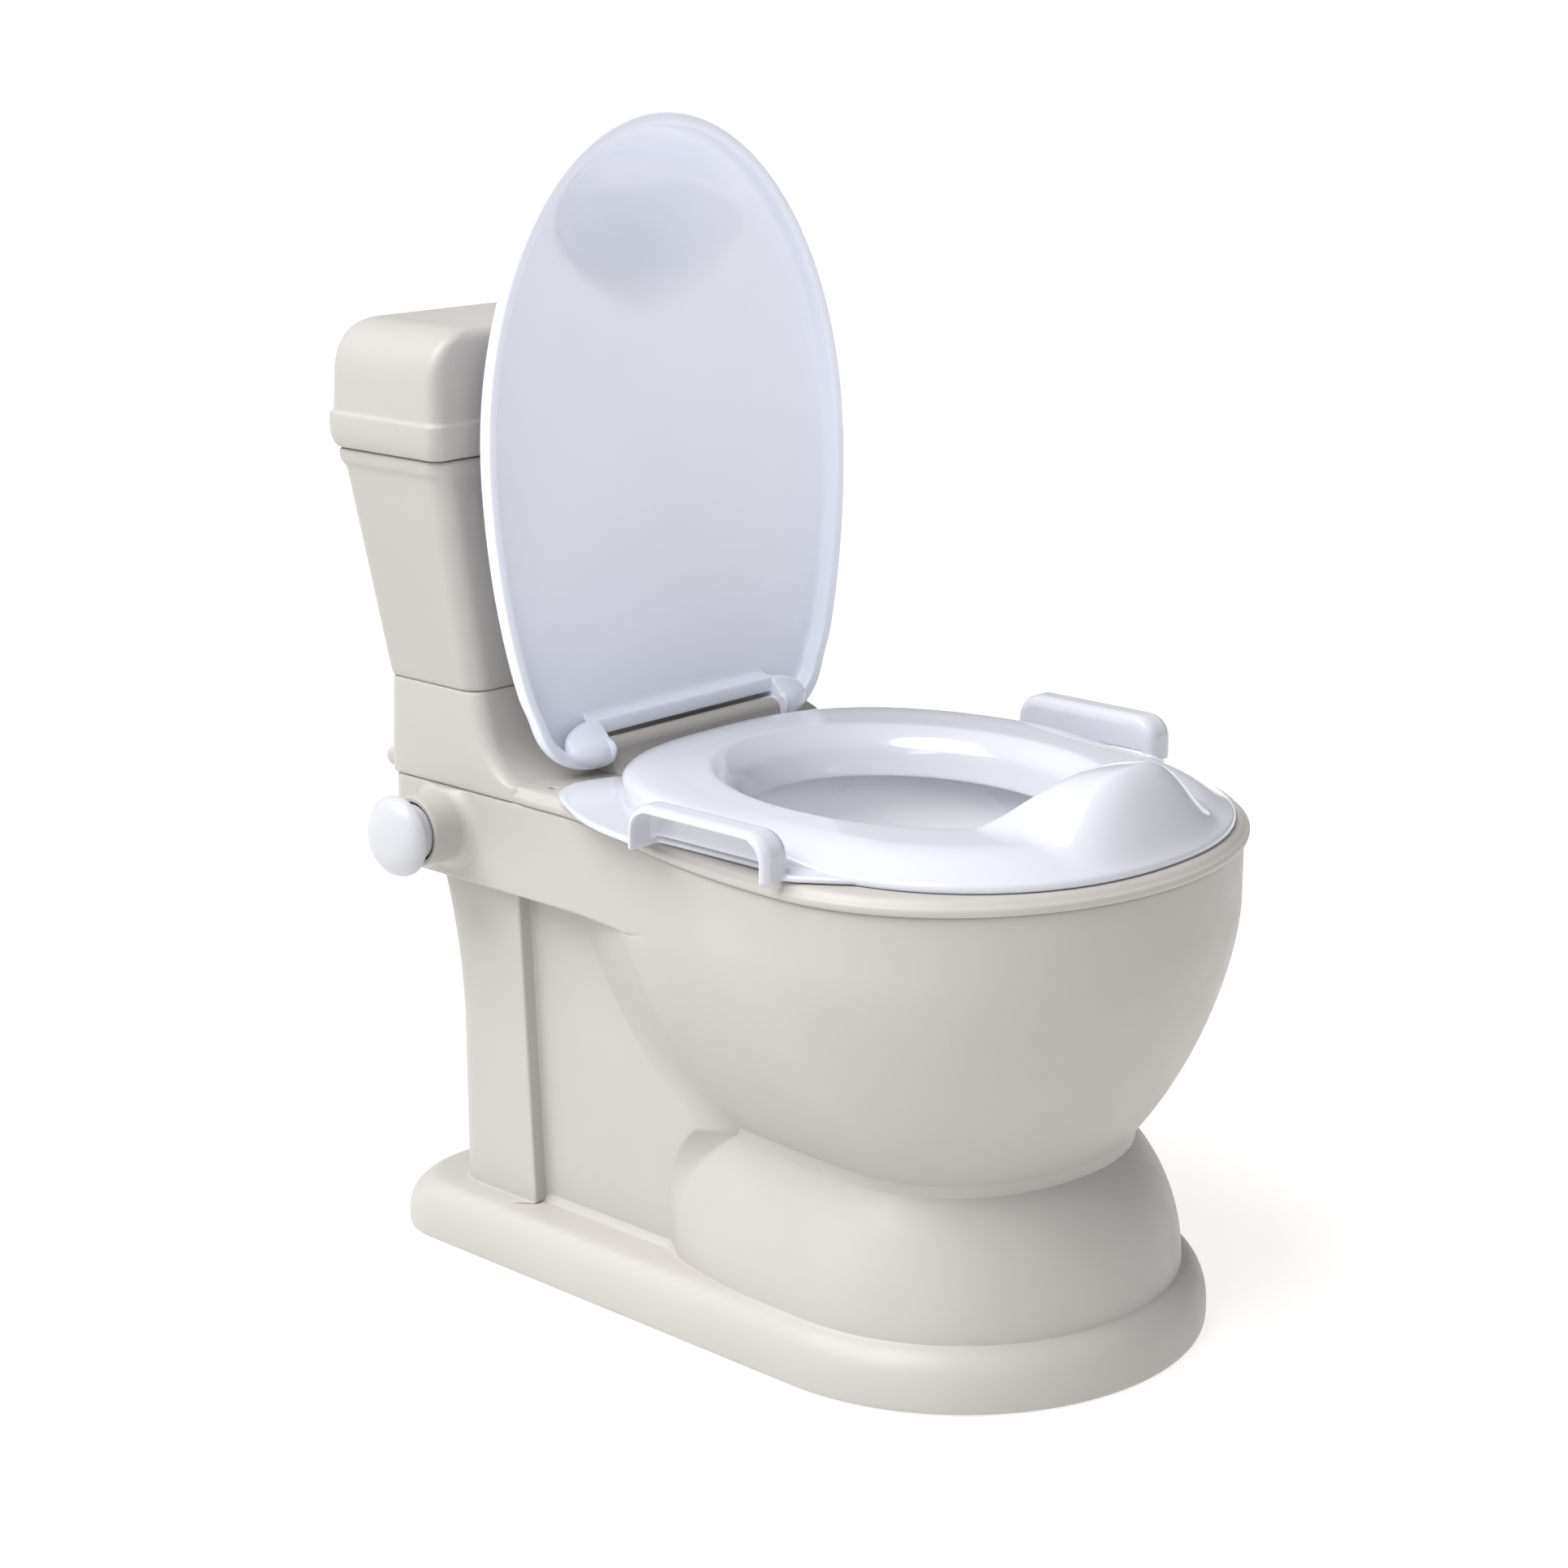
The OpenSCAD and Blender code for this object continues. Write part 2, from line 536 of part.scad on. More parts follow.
// Stem that joins the knob to the retaining ring and presses the switch
module knob_stem() {
    color("#c9c9c9") on_knob_axis() {
        translate([0, 0, clip_x - 1]) cylinder(r = stem_r, h = neck_x + 11 - clip_x + 1);
        translate([0, 0, stem_end]) cylinder(r = 2.8, h = clip_x - stem_end);
    }
}

// Compression spring between the pocket's floor and the knob's neck
module knob_spring() {
    turns = 4;
    steps = 16;
    wire = 0.6;
    length = neck_x - pocket_x - 2 * wire - 0.2;
    color("#b8bbc0") on_knob_axis() translate([0, 0, pocket_x + 0.1])
        skin([for (i = [0:turns * steps]) let (q = 360 * i / steps,
            z = wire + length * i / (turns * steps))
            [for (j = [0:5]) let (e = -60 * j) [(6.5 + wire * cos(e)) * cos(q),
                (6.5 + wire * cos(e)) * sin(q), z + wire * sin(e)]]]);
}

// Retaining ring on the stem's inner end
module knob_clip() {
    color("#9fa2a6") on_knob_axis() translate([0, 0, clip_x]) difference() {
        cylinder(r = 7, h = 1.2);
        translate([0, 0, -1]) cylinder(r = stem_r, h = 4);
    }
}

module antislip_feet() {
    color("#6e6e74") from_bowl() both_sides() for (p = foot_xy)
        translate([p[0], p[1], 0]) cylinder(r = foot_r, h = foot_h);
}

// Screw driven upwards, with its head under z and a cross recess
module screw_up(z, length) {
    head_h = 2;
    translate([0, 0, z]) cylinder(r = screw_thread, h = length);
    translate([0, 0, z - head_h]) difference() {
        cylinder(r = 2 * screw_thread, h = head_h);
        for (q = [0, 90]) rotate([0, 0, q]) translate([-2, -0.4, -1]) cube([4, 0.8, 2]);
    }
}

module deck_screws() {
    color("#a9acb0") from_bowl() both_sides() for (p = deck_screw_xy)
        translate([p[0], p[1], 0]) screw_up(lug_z, 14);
}

module tank_screws() {
    color("#a9acb0") from_bowl() both_sides() for (p = tank_screw_xy)
        translate([p[0], p[1], 0]) screw_up(tank_z - wall, 6.5);
}

// Places of the screws that hold the flush-sound unit's cover
cover_screw_xz = [[case_x0 + 5, case_z0 + 4], [case_x0 + 5, case_z1 - 4],
    [case_x1 - 3.5, case_z0 + 4], [case_x1 - 3.5, case_z1 - 4]];

module along_y(x, y, z) {
    translate([x, y, z]) rotate([-90, 0, 0]) children();
}

// Flush-sound unit: a case behind the knob, with a battery bay open to the rear wall
module sound_case() {
    width = case_x1 - case_x0;
    height = case_z1 - case_z0;
    color("#d9d9dc") from_bowl() difference() {
        union() {
            difference() {
                translate([case_x0, case_y0, case_z0]) cube([width, case_y1 - case_y0, height]);
                // electronics bay, open to the front
                translate([case_x0 + 2, case_y0 - 1, case_z0 + 2])
                    cube([width - 9, bay_y - case_y0 + 1, height - 4]);
            }
            for (p = [cover_screw_xz[0], cover_screw_xz[1]])
                along_y(p[0], case_y0, p[1]) cylinder(r = 3.4, h = bay_y - case_y0 + 1);
            // posts behind the circuit board
            for (x = [board_x + 4, board_x + 32]) along_y(x, board_y + 1.6, case_z0 + 16)
                cylinder(r = 2, h = bay_y - board_y - 1);
        }
        // battery bay, open to the rear
        translate([cell_bay_x0, bay_y + 3, case_z0 + 4])
            cube([cell_bay_len, case_y1 - bay_y, 24]);
        for (p = cover_screw_xz) along_y(p[0], case_y0 - 1, p[1]) cylinder(r = 1, h = 9);
        along_y(door_screw_x, case_y1 - 8, speaker_z) cylinder(r = 1.2, h = 10);
        // window for the push switch's button
        translate([case_x0 - 1, knob_y, knob_z]) rotate([0, 90, 0]) cylinder(r = 3, h = 4);
    }
}

module sound_case_cover() {
    slots = 5;
    color("#cfd0d4") from_bowl() difference() {
        translate([case_x0, case_y0 - 2, case_z0])
            cube([case_x1 - case_x0, 2, case_z1 - case_z0]);
        for (p = cover_screw_xz) along_y(p[0], case_y0 - 3, p[1]) cylinder(r = 1.1, h = 4);
        // sound slots in front of the speaker
        for (i = [0:slots - 1])
            translate([speaker_x - 8.8 + 4 * i, case_y0 - 3, speaker_z - 8]) cube([1.6, 4, 16]);
    }
}

module case_screws() {
    color("#a9acb0") from_bowl() for (p = cover_screw_xz) {
        along_y(p[0], case_y0 - 3.2, p[1]) cylinder(r = 2, h = 1.2);
        along_y(p[0], case_y0 - 2, p[1]) cylinder(r = 1, h = 9);
    }
}

module circuit_board() {
    color("#2f6b45") from_bowl() translate([board_x, board_y, case_z0 + 4]) cube([36, 1.6, 25]);
}

module sound_chip() {
    color("#1d1d1f") from_bowl() translate([board_x + 10, board_y - 2.6, case_z0 + 11])
        cube([12, 2.6, 10]);
}

module speaker() {
    color("#3a3a3d") from_bowl() along_y(speaker_x, case_y0, speaker_z) {
        cylinder(r = 12.5, h = 2.4);
        translate([0, 0, 2.4]) cylinder(r = 7, h = 4);
    }
}

// Two wires that curve from the board's edge to the back of the speaker
module speaker_leads() {
    bend = board_y + 0.8 - case_y0 - 6.4;
    color("#b02a2a") from_bowl() for (z = [-1.5, 1.5])
        translate([board_x + 36, case_y0 + 6.4, speaker_z + z])
            rotate_extrude(angle = 90) translate([bend, 0]) circle(r = 0.5);
}

module push_switch() {
    color("#2b2b2e") from_bowl() difference() {
        translate([case_x0 + 2, knob_y - 5.5, knob_z - 5]) cube([6, 11, 10]);
        translate([case_x0 + 1, knob_y, knob_z]) rotate([0, 90, 0])
            cylinder(r = button_r + hole_clear, h = 4);
    }
}

module switch_button() {
    color("#8a2f2f") on_knob_axis() translate([0, 0, 84.2])
        cylinder(r = button_r, h = stem_end - 3.05 - 84.2);
}

module battery_cells() {
    color("#3d3f45") from_bowl() for (i = [0, 1])
        translate([cell_bay_x0 + cell_bay_len / 2 + (i == 0 ? coil / 2 : -coil / 2),
            case_y1 - 10, cell_z[i]]) rotate([0, i == 0 ? 90 : -90, 0])
            translate([0, 0, -cell_len / 2]) {
                cylinder(r = cell_r, h = cell_len - 0.9);
                translate([0, 0, cell_len - 0.9]) cylinder(r = 1.9, h = 0.9);
            }
}

// Spring steel plates at both ends of each cell, one of each pair with a coil
module battery_contacts() {
    end_x = cell_bay_x0 + cell_bay_len;
    color("#c8cacd") from_bowl() {
        for (x = [cell_bay_x0, end_x - plate], z = cell_z)
            translate([x, case_y1 - 14.5, z - 4]) cube([plate, 9, 8]);
        translate([cell_bay_x0 + plate, case_y1 - 10, cell_z[0]]) rotate([0, 90, 0])
            cylinder(r1 = 3.4, r2 = 2.4, h = coil);
        translate([end_x - plate, case_y1 - 10, cell_z[1]]) rotate([0, -90, 0])
            cylinder(r1 = 3.4, r2 = 2.4, h = coil);
    }
}

module battery_door() {
    fit = 0.3;
    color("#dddad5") from_bowl() difference() {
        translate([door_x0 + fit, case_y1, door_z0 + fit])
            cube([door_w - 2 * fit, wall - 0.2, door_h - 2 * fit]);
        along_y(door_screw_x, case_y1 - 1, speaker_z) cylinder(r = 1.4, h = 6);
        along_y(door_screw_x, case_y1 + wall - 1.6, speaker_z) cylinder(r = 2.8, h = 3);
    }
}

module battery_door_screw() {
    color("#a9acb0") from_bowl() {
        along_y(door_screw_x, case_y1 - 7, speaker_z) cylinder(r = 1.2, h = wall - 1.6 + 7);
        along_y(door_screw_x, case_y1 + wall - 1.6, speaker_z) difference() {
            cylinder(r = 2.6, h = 1.2);
            for (q = [0, 90]) rotate([0, 0, q]) translate([-1.6, -0.3, 0.6]) cube([3.2, 0.6, 1]);
        }
    }
}

base_shell();
deck();
tank_shell();
tank_lid();
seat_cover();
hinge_pins();
training_seat();
pot();
flush_knob();
knob_stem();
knob_spring();
knob_clip();
antislip_feet();
deck_screws();
tank_screws();
sound_case();
sound_case_cover();
case_screws();
circuit_board();
sound_chip();
speaker();
speaker_leads();
push_switch();
switch_button();
battery_cells();
battery_contacts();
battery_door();
battery_door_screw();
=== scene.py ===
"""Potty training chair shaped like a small toilet, with its cover open.

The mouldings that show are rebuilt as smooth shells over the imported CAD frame. Lengths are in
millimetres, with Y measured from the bowl's own axis and towards the tank, and to_row() turns them
into the row frame in metres. A profile is a list of rings, from one closed end to the other or
round a closed loop; rings set close together hold an edge tight once the shell is smoothed.
"""

import json
import math

import bpy
import numpy as np
from mathutils import Matrix, Vector


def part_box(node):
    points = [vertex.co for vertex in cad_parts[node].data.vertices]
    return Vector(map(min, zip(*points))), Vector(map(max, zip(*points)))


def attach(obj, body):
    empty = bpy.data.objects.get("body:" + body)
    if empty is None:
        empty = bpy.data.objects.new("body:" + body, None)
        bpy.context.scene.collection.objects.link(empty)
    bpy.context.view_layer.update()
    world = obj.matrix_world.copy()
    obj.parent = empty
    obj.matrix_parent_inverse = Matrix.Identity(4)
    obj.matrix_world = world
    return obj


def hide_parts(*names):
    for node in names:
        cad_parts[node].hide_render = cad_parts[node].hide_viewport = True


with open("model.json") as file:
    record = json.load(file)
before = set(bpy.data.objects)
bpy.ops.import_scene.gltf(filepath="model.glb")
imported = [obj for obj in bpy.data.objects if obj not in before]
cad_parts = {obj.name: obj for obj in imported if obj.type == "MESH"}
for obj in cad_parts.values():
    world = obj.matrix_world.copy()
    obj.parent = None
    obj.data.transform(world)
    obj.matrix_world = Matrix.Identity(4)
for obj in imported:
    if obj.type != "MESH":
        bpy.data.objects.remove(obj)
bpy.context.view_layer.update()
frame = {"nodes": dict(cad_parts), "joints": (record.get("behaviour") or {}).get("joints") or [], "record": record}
joints = {j["name"]: j for j in frame["joints"]}


def corners(node):
    """Lowest and highest corner of a CAD node, in millimetres of the row frame."""
    low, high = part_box(node)
    return np.array(low) * 1000, np.array(high) * 1000


# Heights and sizes from the frame
HINGE_Z = joints["cover_hinge"]["pos_m"][2] * 1000
SEAM_Z = corners("base_shell")[1][2]             # base to deck
TANK_Z = corners("deck")[1][2]                   # collar to tank
LID_Z = corners("tank_shell")[1][2] + 0.3        # tank to tank lid
TOP_Z = corners("tank_lid")[1][2]
LID_HALF = corners("tank_lid")[1][0]
HANDLE_HALF = corners("training_seat")[1][0]
GUARD_Z = corners("training_seat")[1][2]
KNOB_LOW, KNOB_HIGH = corners("flush_knob")

# Sizes worked out from those, and the driving sizes of the body
HINGE_Y = 177.0                                  # hinge axis behind the bowl axis
SHIFT_Y = joints["cover_hinge"]["pos_m"][1] * 1000 - HINGE_Y
DECK_Z = SEAM_Z + 8
KNOB_X = -KNOB_LOW[0]                            # the knob's outer face, on the -X side
KNOB_Y = (KNOB_LOW[1] + KNOB_HIGH[1]) / 2 - SHIFT_Y
KNOB_Z = (KNOB_LOW[2] + KNOB_HIGH[2]) / 2
KNOB_R = (KNOB_HIGH[2] - KNOB_LOW[2]) / 2
BOSS_END = KNOB_X - 18
WALL = 3.0
PLINTH = (119.5, 116.0)                          # half width, front reach
PLINTH_Z = 29.0
CREASE_Z = 93.0                                  # crease between foot and bowl
SHOULDER_Z = 58.0                                # the foot's shoulder starts to draw in
PANEL = 91.0                                     # half width over the side panels
COLUMN = 99.0                                    # half width over the columns
BEAM = 108.0                                     # half width over the side beams
BEAM_Z = 190.0
BEAM_START = 162.0                               # the beam's side runs straight behind here
BOWL = (134.0, 115.0)                            # half width, front reach from BOWL_Y0
BOWL_Y0 = -6.0
BOWL_BACK = 230.0                                # rear reach of the bowl's oval
RIM = (136.5, 117.5)
HOLE = (92.0, 104.0)                             # half width and half length of the pot opening
HOLE_Y = 30.0                                    # middle of the pot opening
SEAT = (122.0, 117.0, 166.0)                     # half width, front and rear reach
SEAT_Z = 258.0
GUARD_HALF = 53.0                                # half width of the splash guard
COVER_LEN = 296.0
COVER_HALF = 122.0
COVER_MID = 135.0                                # widest place of the cover, from the hinge
COVER_BACK = 217.0                               # rear reach of the cover's oval
EAR_X = 60.0                                     # inner side of the cover's ears
LEAN = 3.0                                       # backward lean of the open cover, degrees


# ---------------------------------------------------------------- materials

DRIFT_SIZE, GLOSS_SIZE, GRAIN_SIZE = 0.09, 0.02, 0.0009    # metres over which each one varies


def linear(r, g, b):
    """sRGB values from 0 to 255 as a linear colour."""
    c = np.array([r, g, b]) / 255
    return tuple(np.where(c > 0.04045, ((c + 0.055) / 1.055) ** 2.4, c / 12.92)) + (1.0,)


def plastic(name, colour, roughness, drift=0.02, grain=0.012, coat=0.0, metallic=0.0):
    """Moulded plastic or metal: the colour drifts a little over the piece, the gloss is uneven,
    and a fine grain, as deep as grain in millimetres, breaks up the highlights."""
    m = bpy.data.materials.new(name)
    m.use_nodes = True
    nodes, links = m.node_tree.nodes, m.node_tree.links
    shader = nodes["Principled BSDF"]
    where = nodes.new("ShaderNodeTexCoord")

    def noise(size, detail):
        n = nodes.new("ShaderNodeTexNoise")
        n.inputs["Scale"].default_value = 1 / size
        n.inputs["Detail"].default_value = detail
        links.new(where.outputs["Object"], n.inputs["Vector"])
        return n

    def ramp(source, low, high):
        r = nodes.new("ShaderNodeValToRGB")
        r.color_ramp.elements[0].position, r.color_ramp.elements[1].position = 0.35, 0.65
        r.color_ramp.elements[0].color, r.color_ramp.elements[1].color = low, high
        links.new(source.outputs["Fac"], r.inputs["Fac"])
        return r

    dark = tuple(c * (1 - drift) for c in colour[:3]) + (1.0,)
    light = tuple(min(1.0, c * (1 + drift)) for c in colour[:3]) + (1.0,)
    links.new(ramp(noise(DRIFT_SIZE, 3), dark, light).outputs["Color"], shader.inputs["Base Color"])
    uneven = ramp(noise(GLOSS_SIZE, 4), (roughness * 0.9,) * 3 + (1.0,), (roughness * 1.1,) * 3 + (1.0,))
    links.new(uneven.outputs["Color"], shader.inputs["Roughness"])
    bump = nodes.new("ShaderNodeBump")
    bump.inputs["Strength"].default_value = 0.35
    bump.inputs["Distance"].default_value = grain * 0.001
    links.new(noise(GRAIN_SIZE, 5).outputs["Fac"], bump.inputs["Height"])
    links.new(bump.outputs["Normal"], shader.inputs["Normal"])
    shader.inputs["Metallic"].default_value = metallic
    shader.inputs["Coat Weight"].default_value = coat
    shader.inputs["Coat Roughness"].default_value = 0.08
    return m


MATERIALS = {
    "shell_beige": plastic("shell_beige", linear(179, 176, 172), 0.45, grain=0.02),
    "cover_white": plastic("cover_white", linear(235, 239, 250), 0.24, drift=0.012),
    "seat_white": plastic("seat_white", linear(201, 203, 211), 0.13, drift=0.010, coat=0.3),
    "pot_white": plastic("pot_white", linear(244, 244, 248), 0.3, drift=0.012),
    "knob_white": plastic("knob_white", linear(191, 193, 198), 0.3, drift=0.010),
    "stem_grey": plastic("stem_grey", linear(190, 190, 192), 0.5),
    "steel": plastic("steel", linear(186, 189, 194), 0.32, metallic=1.0, grain=0.01),
    "rubber_grey": plastic("rubber_grey", linear(92, 92, 97), 0.75, drift=0.06, grain=0.08),
    "case_grey": plastic("case_grey", linear(204, 204, 206), 0.5),
    "board_green": plastic("board_green", linear(30, 84, 52), 0.4, drift=0.08),
    "chip_black": plastic("chip_black", linear(24, 24, 27), 0.5),
    "speaker_dark": plastic("speaker_dark", linear(48, 48, 52), 0.55, drift=0.05),
    "wire_red": plastic("wire_red", linear(152, 30, 30), 0.45),
    "button_red": plastic("button_red", linear(130, 38, 38), 0.4),
    "cell_wrap": plastic("cell_wrap", linear(58, 60, 68), 0.35, drift=0.05),
}


# ---------------------------------------------------------------- mesh code

def to_row(points):
    """Bowl-axis millimetres to metres of the row frame."""
    return (np.asarray(points, float) + [0, SHIFT_Y, 0]) * 0.001


def skin(rings, loop=False):
    """Quads through rings of equal length. A shell that isn't a loop gets a flat face on each
    end."""
    rings = np.asarray(rings, float)
    m, n = rings.shape[:2]
    faces = []
    for i in range(m if loop else m - 1):
        a, b = i * n, ((i + 1) % m) * n
        for j in range(n):
            k = (j + 1) % n
            faces.append((a + j, a + k, b + k, b + j))
    if not loop:
        faces.append(tuple(range(n - 1, -1, -1)))
        faces.append(tuple((m - 1) * n + j for j in range(n)))
    return rings.reshape(-1, 3), faces


def raw_object(name, shells):
    """One object from closed shells in bowl-axis millimetres."""
    points, faces = [], []
    for verts, quads in shells:
        start = sum(len(p) for p in points)
        points.append(to_row(verts))
        faces += [tuple(start + v for v in f) for f in quads]
    mesh = bpy.data.meshes.new(name)
    mesh.from_pydata(np.concatenate(points).tolist(), [], faces)
    mesh.validate()
    mesh.update()
    return placed(name, mesh)


def placed(name, mesh):
    """New object in the scene from a mesh, shaded smooth."""
    mesh.polygons.foreach_set("use_smooth", [True] * len(mesh.polygons))
    obj = bpy.data.objects.new(name, mesh)
    bpy.context.scene.collection.objects.link(obj)
    return obj


def baked(obj):
    """Applies an object's modifiers and gives back its mesh, without the object."""
    bpy.context.view_layer.update()
    mesh = bpy.data.meshes.new_from_object(obj.evaluated_get(bpy.context.evaluated_depsgraph_get()))
    bpy.data.objects.remove(obj)
    return mesh


def combine(obj, other, operation):
    b = obj.modifiers.new(operation.lower(), "BOOLEAN")
    b.operation, b.solver, b.object = operation, "EXACT", other


def build(name, shells, slot, body, nodes, holes=None):
    """Smoothed piece that rides on a CAD body and stands in for some nodes. The closed shells in
    holes are cut out of it."""
    obj = raw_object(name, shells)
    sub = obj.modifiers.new("smooth", "SUBSURF")
    sub.levels = sub.render_levels = 2
    if holes:
        cutter = raw_object("holes", holes)
        combine(obj, cutter, "DIFFERENCE")
        obj = placed(name, baked(obj))
        bpy.data.objects.remove(cutter)
    obj.data.materials.clear()
    obj.data.materials.append(MATERIALS[slot])
    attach(obj, body)
    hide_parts(*nodes)


def mirrored(half):
    """Whole outline from its +X half, which runs from front to rear on the middle line."""
    half = np.asarray(half, float)
    other = half[-2:0:-1].copy()
    other[:, 0] *= -1
    return np.concatenate([half, other])


def at(outline, z):
    """The outline as a level ring at height z."""
    return np.column_stack([outline, np.full(len(outline), float(z))])


def mix(a, b, t):
    return np.asarray(a) * (1 - t) + np.asarray(b) * t


def smoothstep(x, low, high):
    t = np.clip((np.asarray(x, float) - low) / (high - low), 0, 1)
    return t * t * (3 - 2 * t)


def stretch(p, q, inner, hold):
    """Points after p up to q, with one at the distance hold from each end and inner between."""
    p, q = np.array(p, float), np.array(q, float)
    h = min(hold / max(np.linalg.norm(q - p), 1e-6), 0.3)
    shares = [h, *np.linspace(h, 1 - h, inner + 2)[1:-1], 1 - h, 1]
    return [p + (q - p) * s for s in shares]


def arc(centre, radius, start, end, count):
    """Points on an arc after its start up to its end, angles in degrees."""
    a = np.radians(np.linspace(start, end, count + 1)[1:])
    return [np.array([centre[0] + radius * math.cos(t), centre[1] + radius * math.sin(t)])
            for t in a]


def box_outline(w, y0, y1, r, rear_r=None):
    """Rounded rectangle from y0 to y1 with half width w. The corner radius is r, or rear_r at
    the rear."""
    count, rear_r = 8, rear_r or r
    half = [np.array([0.0, y0])]
    half += stretch((0, y0), (w - r, y0), 3, 3)
    half += arc((w - r, y0 + r), r, -90, 0, count)
    half += stretch((w, y0 + r), (w, y1 - rear_r), 3, 3)
    half += arc((w - rear_r, y1 - rear_r), rear_r, 0, 90, count)
    half += stretch((w - rear_r, y1), (0, y1), 3, 3)
    return mirrored(half)


# ---------------------------------------------------------------- base

def body_outline(a, b, back, power, side_end, panel_start, panel, col_y, col, rear, rc, t=0.0,
                 y0=0.0):
    """Outline of the moulded body at one height, inset by t: bowl or foot, slanted band, side
    panel, column and rear corner. The oval has its middle at y0, half width a, front reach b
    and rear reach back. The band runs from side_end to panel_start, the column from col_y to
    rear, and rc is the rear corner's radius."""
    q = np.radians(np.linspace(0, 90, 27))
    half = [np.array([(a - t) * math.sin(v), y0 - (b - t) * math.cos(v)]) for v in q]

    def side(y):
        x = a * max(0, 1 - (max(0, y - y0) / back) ** power) ** (1 / power)
        return np.array([max(x, min(panel, a) - 12) - t, y])

    span = side_end - y0
    half += [side(y0 + span * s) for s in (*np.linspace(0, 1, 10)[1:-1], 1 - 2.2 / span, 1)]
    flush = 4 if panel == col else 0     # a beam or the plinth: no step from panel to column
    if flush:
        # cubic that leaves the oval in its own direction and lands straight on the side
        start, end = half[-1], np.array([panel - t, panel_start])
        slope, run = (half[-1] - half[-2])[0] / (half[-1] - half[-2])[1], end[1] - start[1]
        for k in (0.2, 0.4, 0.6, 0.8, 1):
            x = (start[0] * (1 - k) ** 2 * (1 + 2 * k) + end[0] * k * k * (3 - 2 * k)
                 + slope * run * k * (1 - k) ** 2)
            half.append(np.array([x, start[1] + run * k]))
    else:
        half += stretch(half[-1], (panel - t, panel_start), 2, 2.5)
    half += stretch(half[-1], (panel - t, col_y + t), 3, 1.4)
    half += stretch(half[-1], (col - t, col_y + t + flush), 1, 2.2)
    half += stretch(half[-1], (col - t, rear - t - rc), 3, 2.4)
    half += arc((col - t - rc, rear - t - rc), rc, 0, 90, 7)
    half += stretch(half[-1], (0, rear - t), 4, 3)
    return mirrored(half)


def bowl_share(z):
    """Size of the bowl's oval at z, as a share of its size at the top."""
    return math.sqrt(1 - (max(0, 205 - z) / 150) ** 1.6)


def foot_share(z):
    """Size of the foot's oval at z, as a share of its size on the plinth."""
    return math.sqrt(1 - ((z - PLINTH_Z) / 97) ** 2)


def band_front(z):
    """Y at which the slanted band leaves the bowl."""
    return 68 + 0.44 * (z - 98)


def band_rear(z):
    """Y at which the band reaches the side panel."""
    return 93 + 1.2 * (z - 98) - 0.0048 * (z - 98) ** 2


def column_front(z):
    return 187.5 + 0.05 * z


def column_back(z):
    return 245 + 13 * (max(0, z - 110) / 80) ** 2


def plinth_ring(z, t):
    return at(body_outline(PLINTH[0], PLINTH[1], 9000, 2, 98, 104, PLINTH[0], 190, PLINTH[0],
                           280, 30, t), z)


def foot_ring(z, t=0.0):
    """The foot's rear end is a rounded shoulder: it moves forward towards the crease."""
    s, up = foot_share(z), (max(0, z - SHOULDER_Z) / (CREASE_Z - SHOULDER_Z)) ** 2.2
    return at(body_outline(108 * s, 103 * s, 145, 3, 93 - 26 * up, 103.5 - 16 * up, PANEL,
                           column_front(z), COLUMN, column_back(z), 12, t), z)


def bowl_ring(z, t=0.0):
    s = bowl_share(z)
    return at(body_outline(BOWL[0] * s, BOWL[1] * s, BOWL_BACK, 2, band_front(z), band_rear(z),
                           PANEL, column_front(z), COLUMN, column_back(z), 12, t, BOWL_Y0), z)


def beam_ring(z, t=0.0):
    s = bowl_share(z)
    return at(body_outline(BOWL[0] * s, BOWL[1] * s, BOWL_BACK, 2, 105, BEAM_START, BEAM,
                           196, BEAM, 278, 9, t, BOWL_Y0), z)


def faded(behind, z):
    """The ring behind, brought on to the plain bowl at height z towards the front."""
    front = beam_ring(z) if z > BEAM_Z else bowl_ring(z)
    w = smoothstep(behind[:, 1], 66, 112)[:, None]
    return front * (1 - w) + behind * w


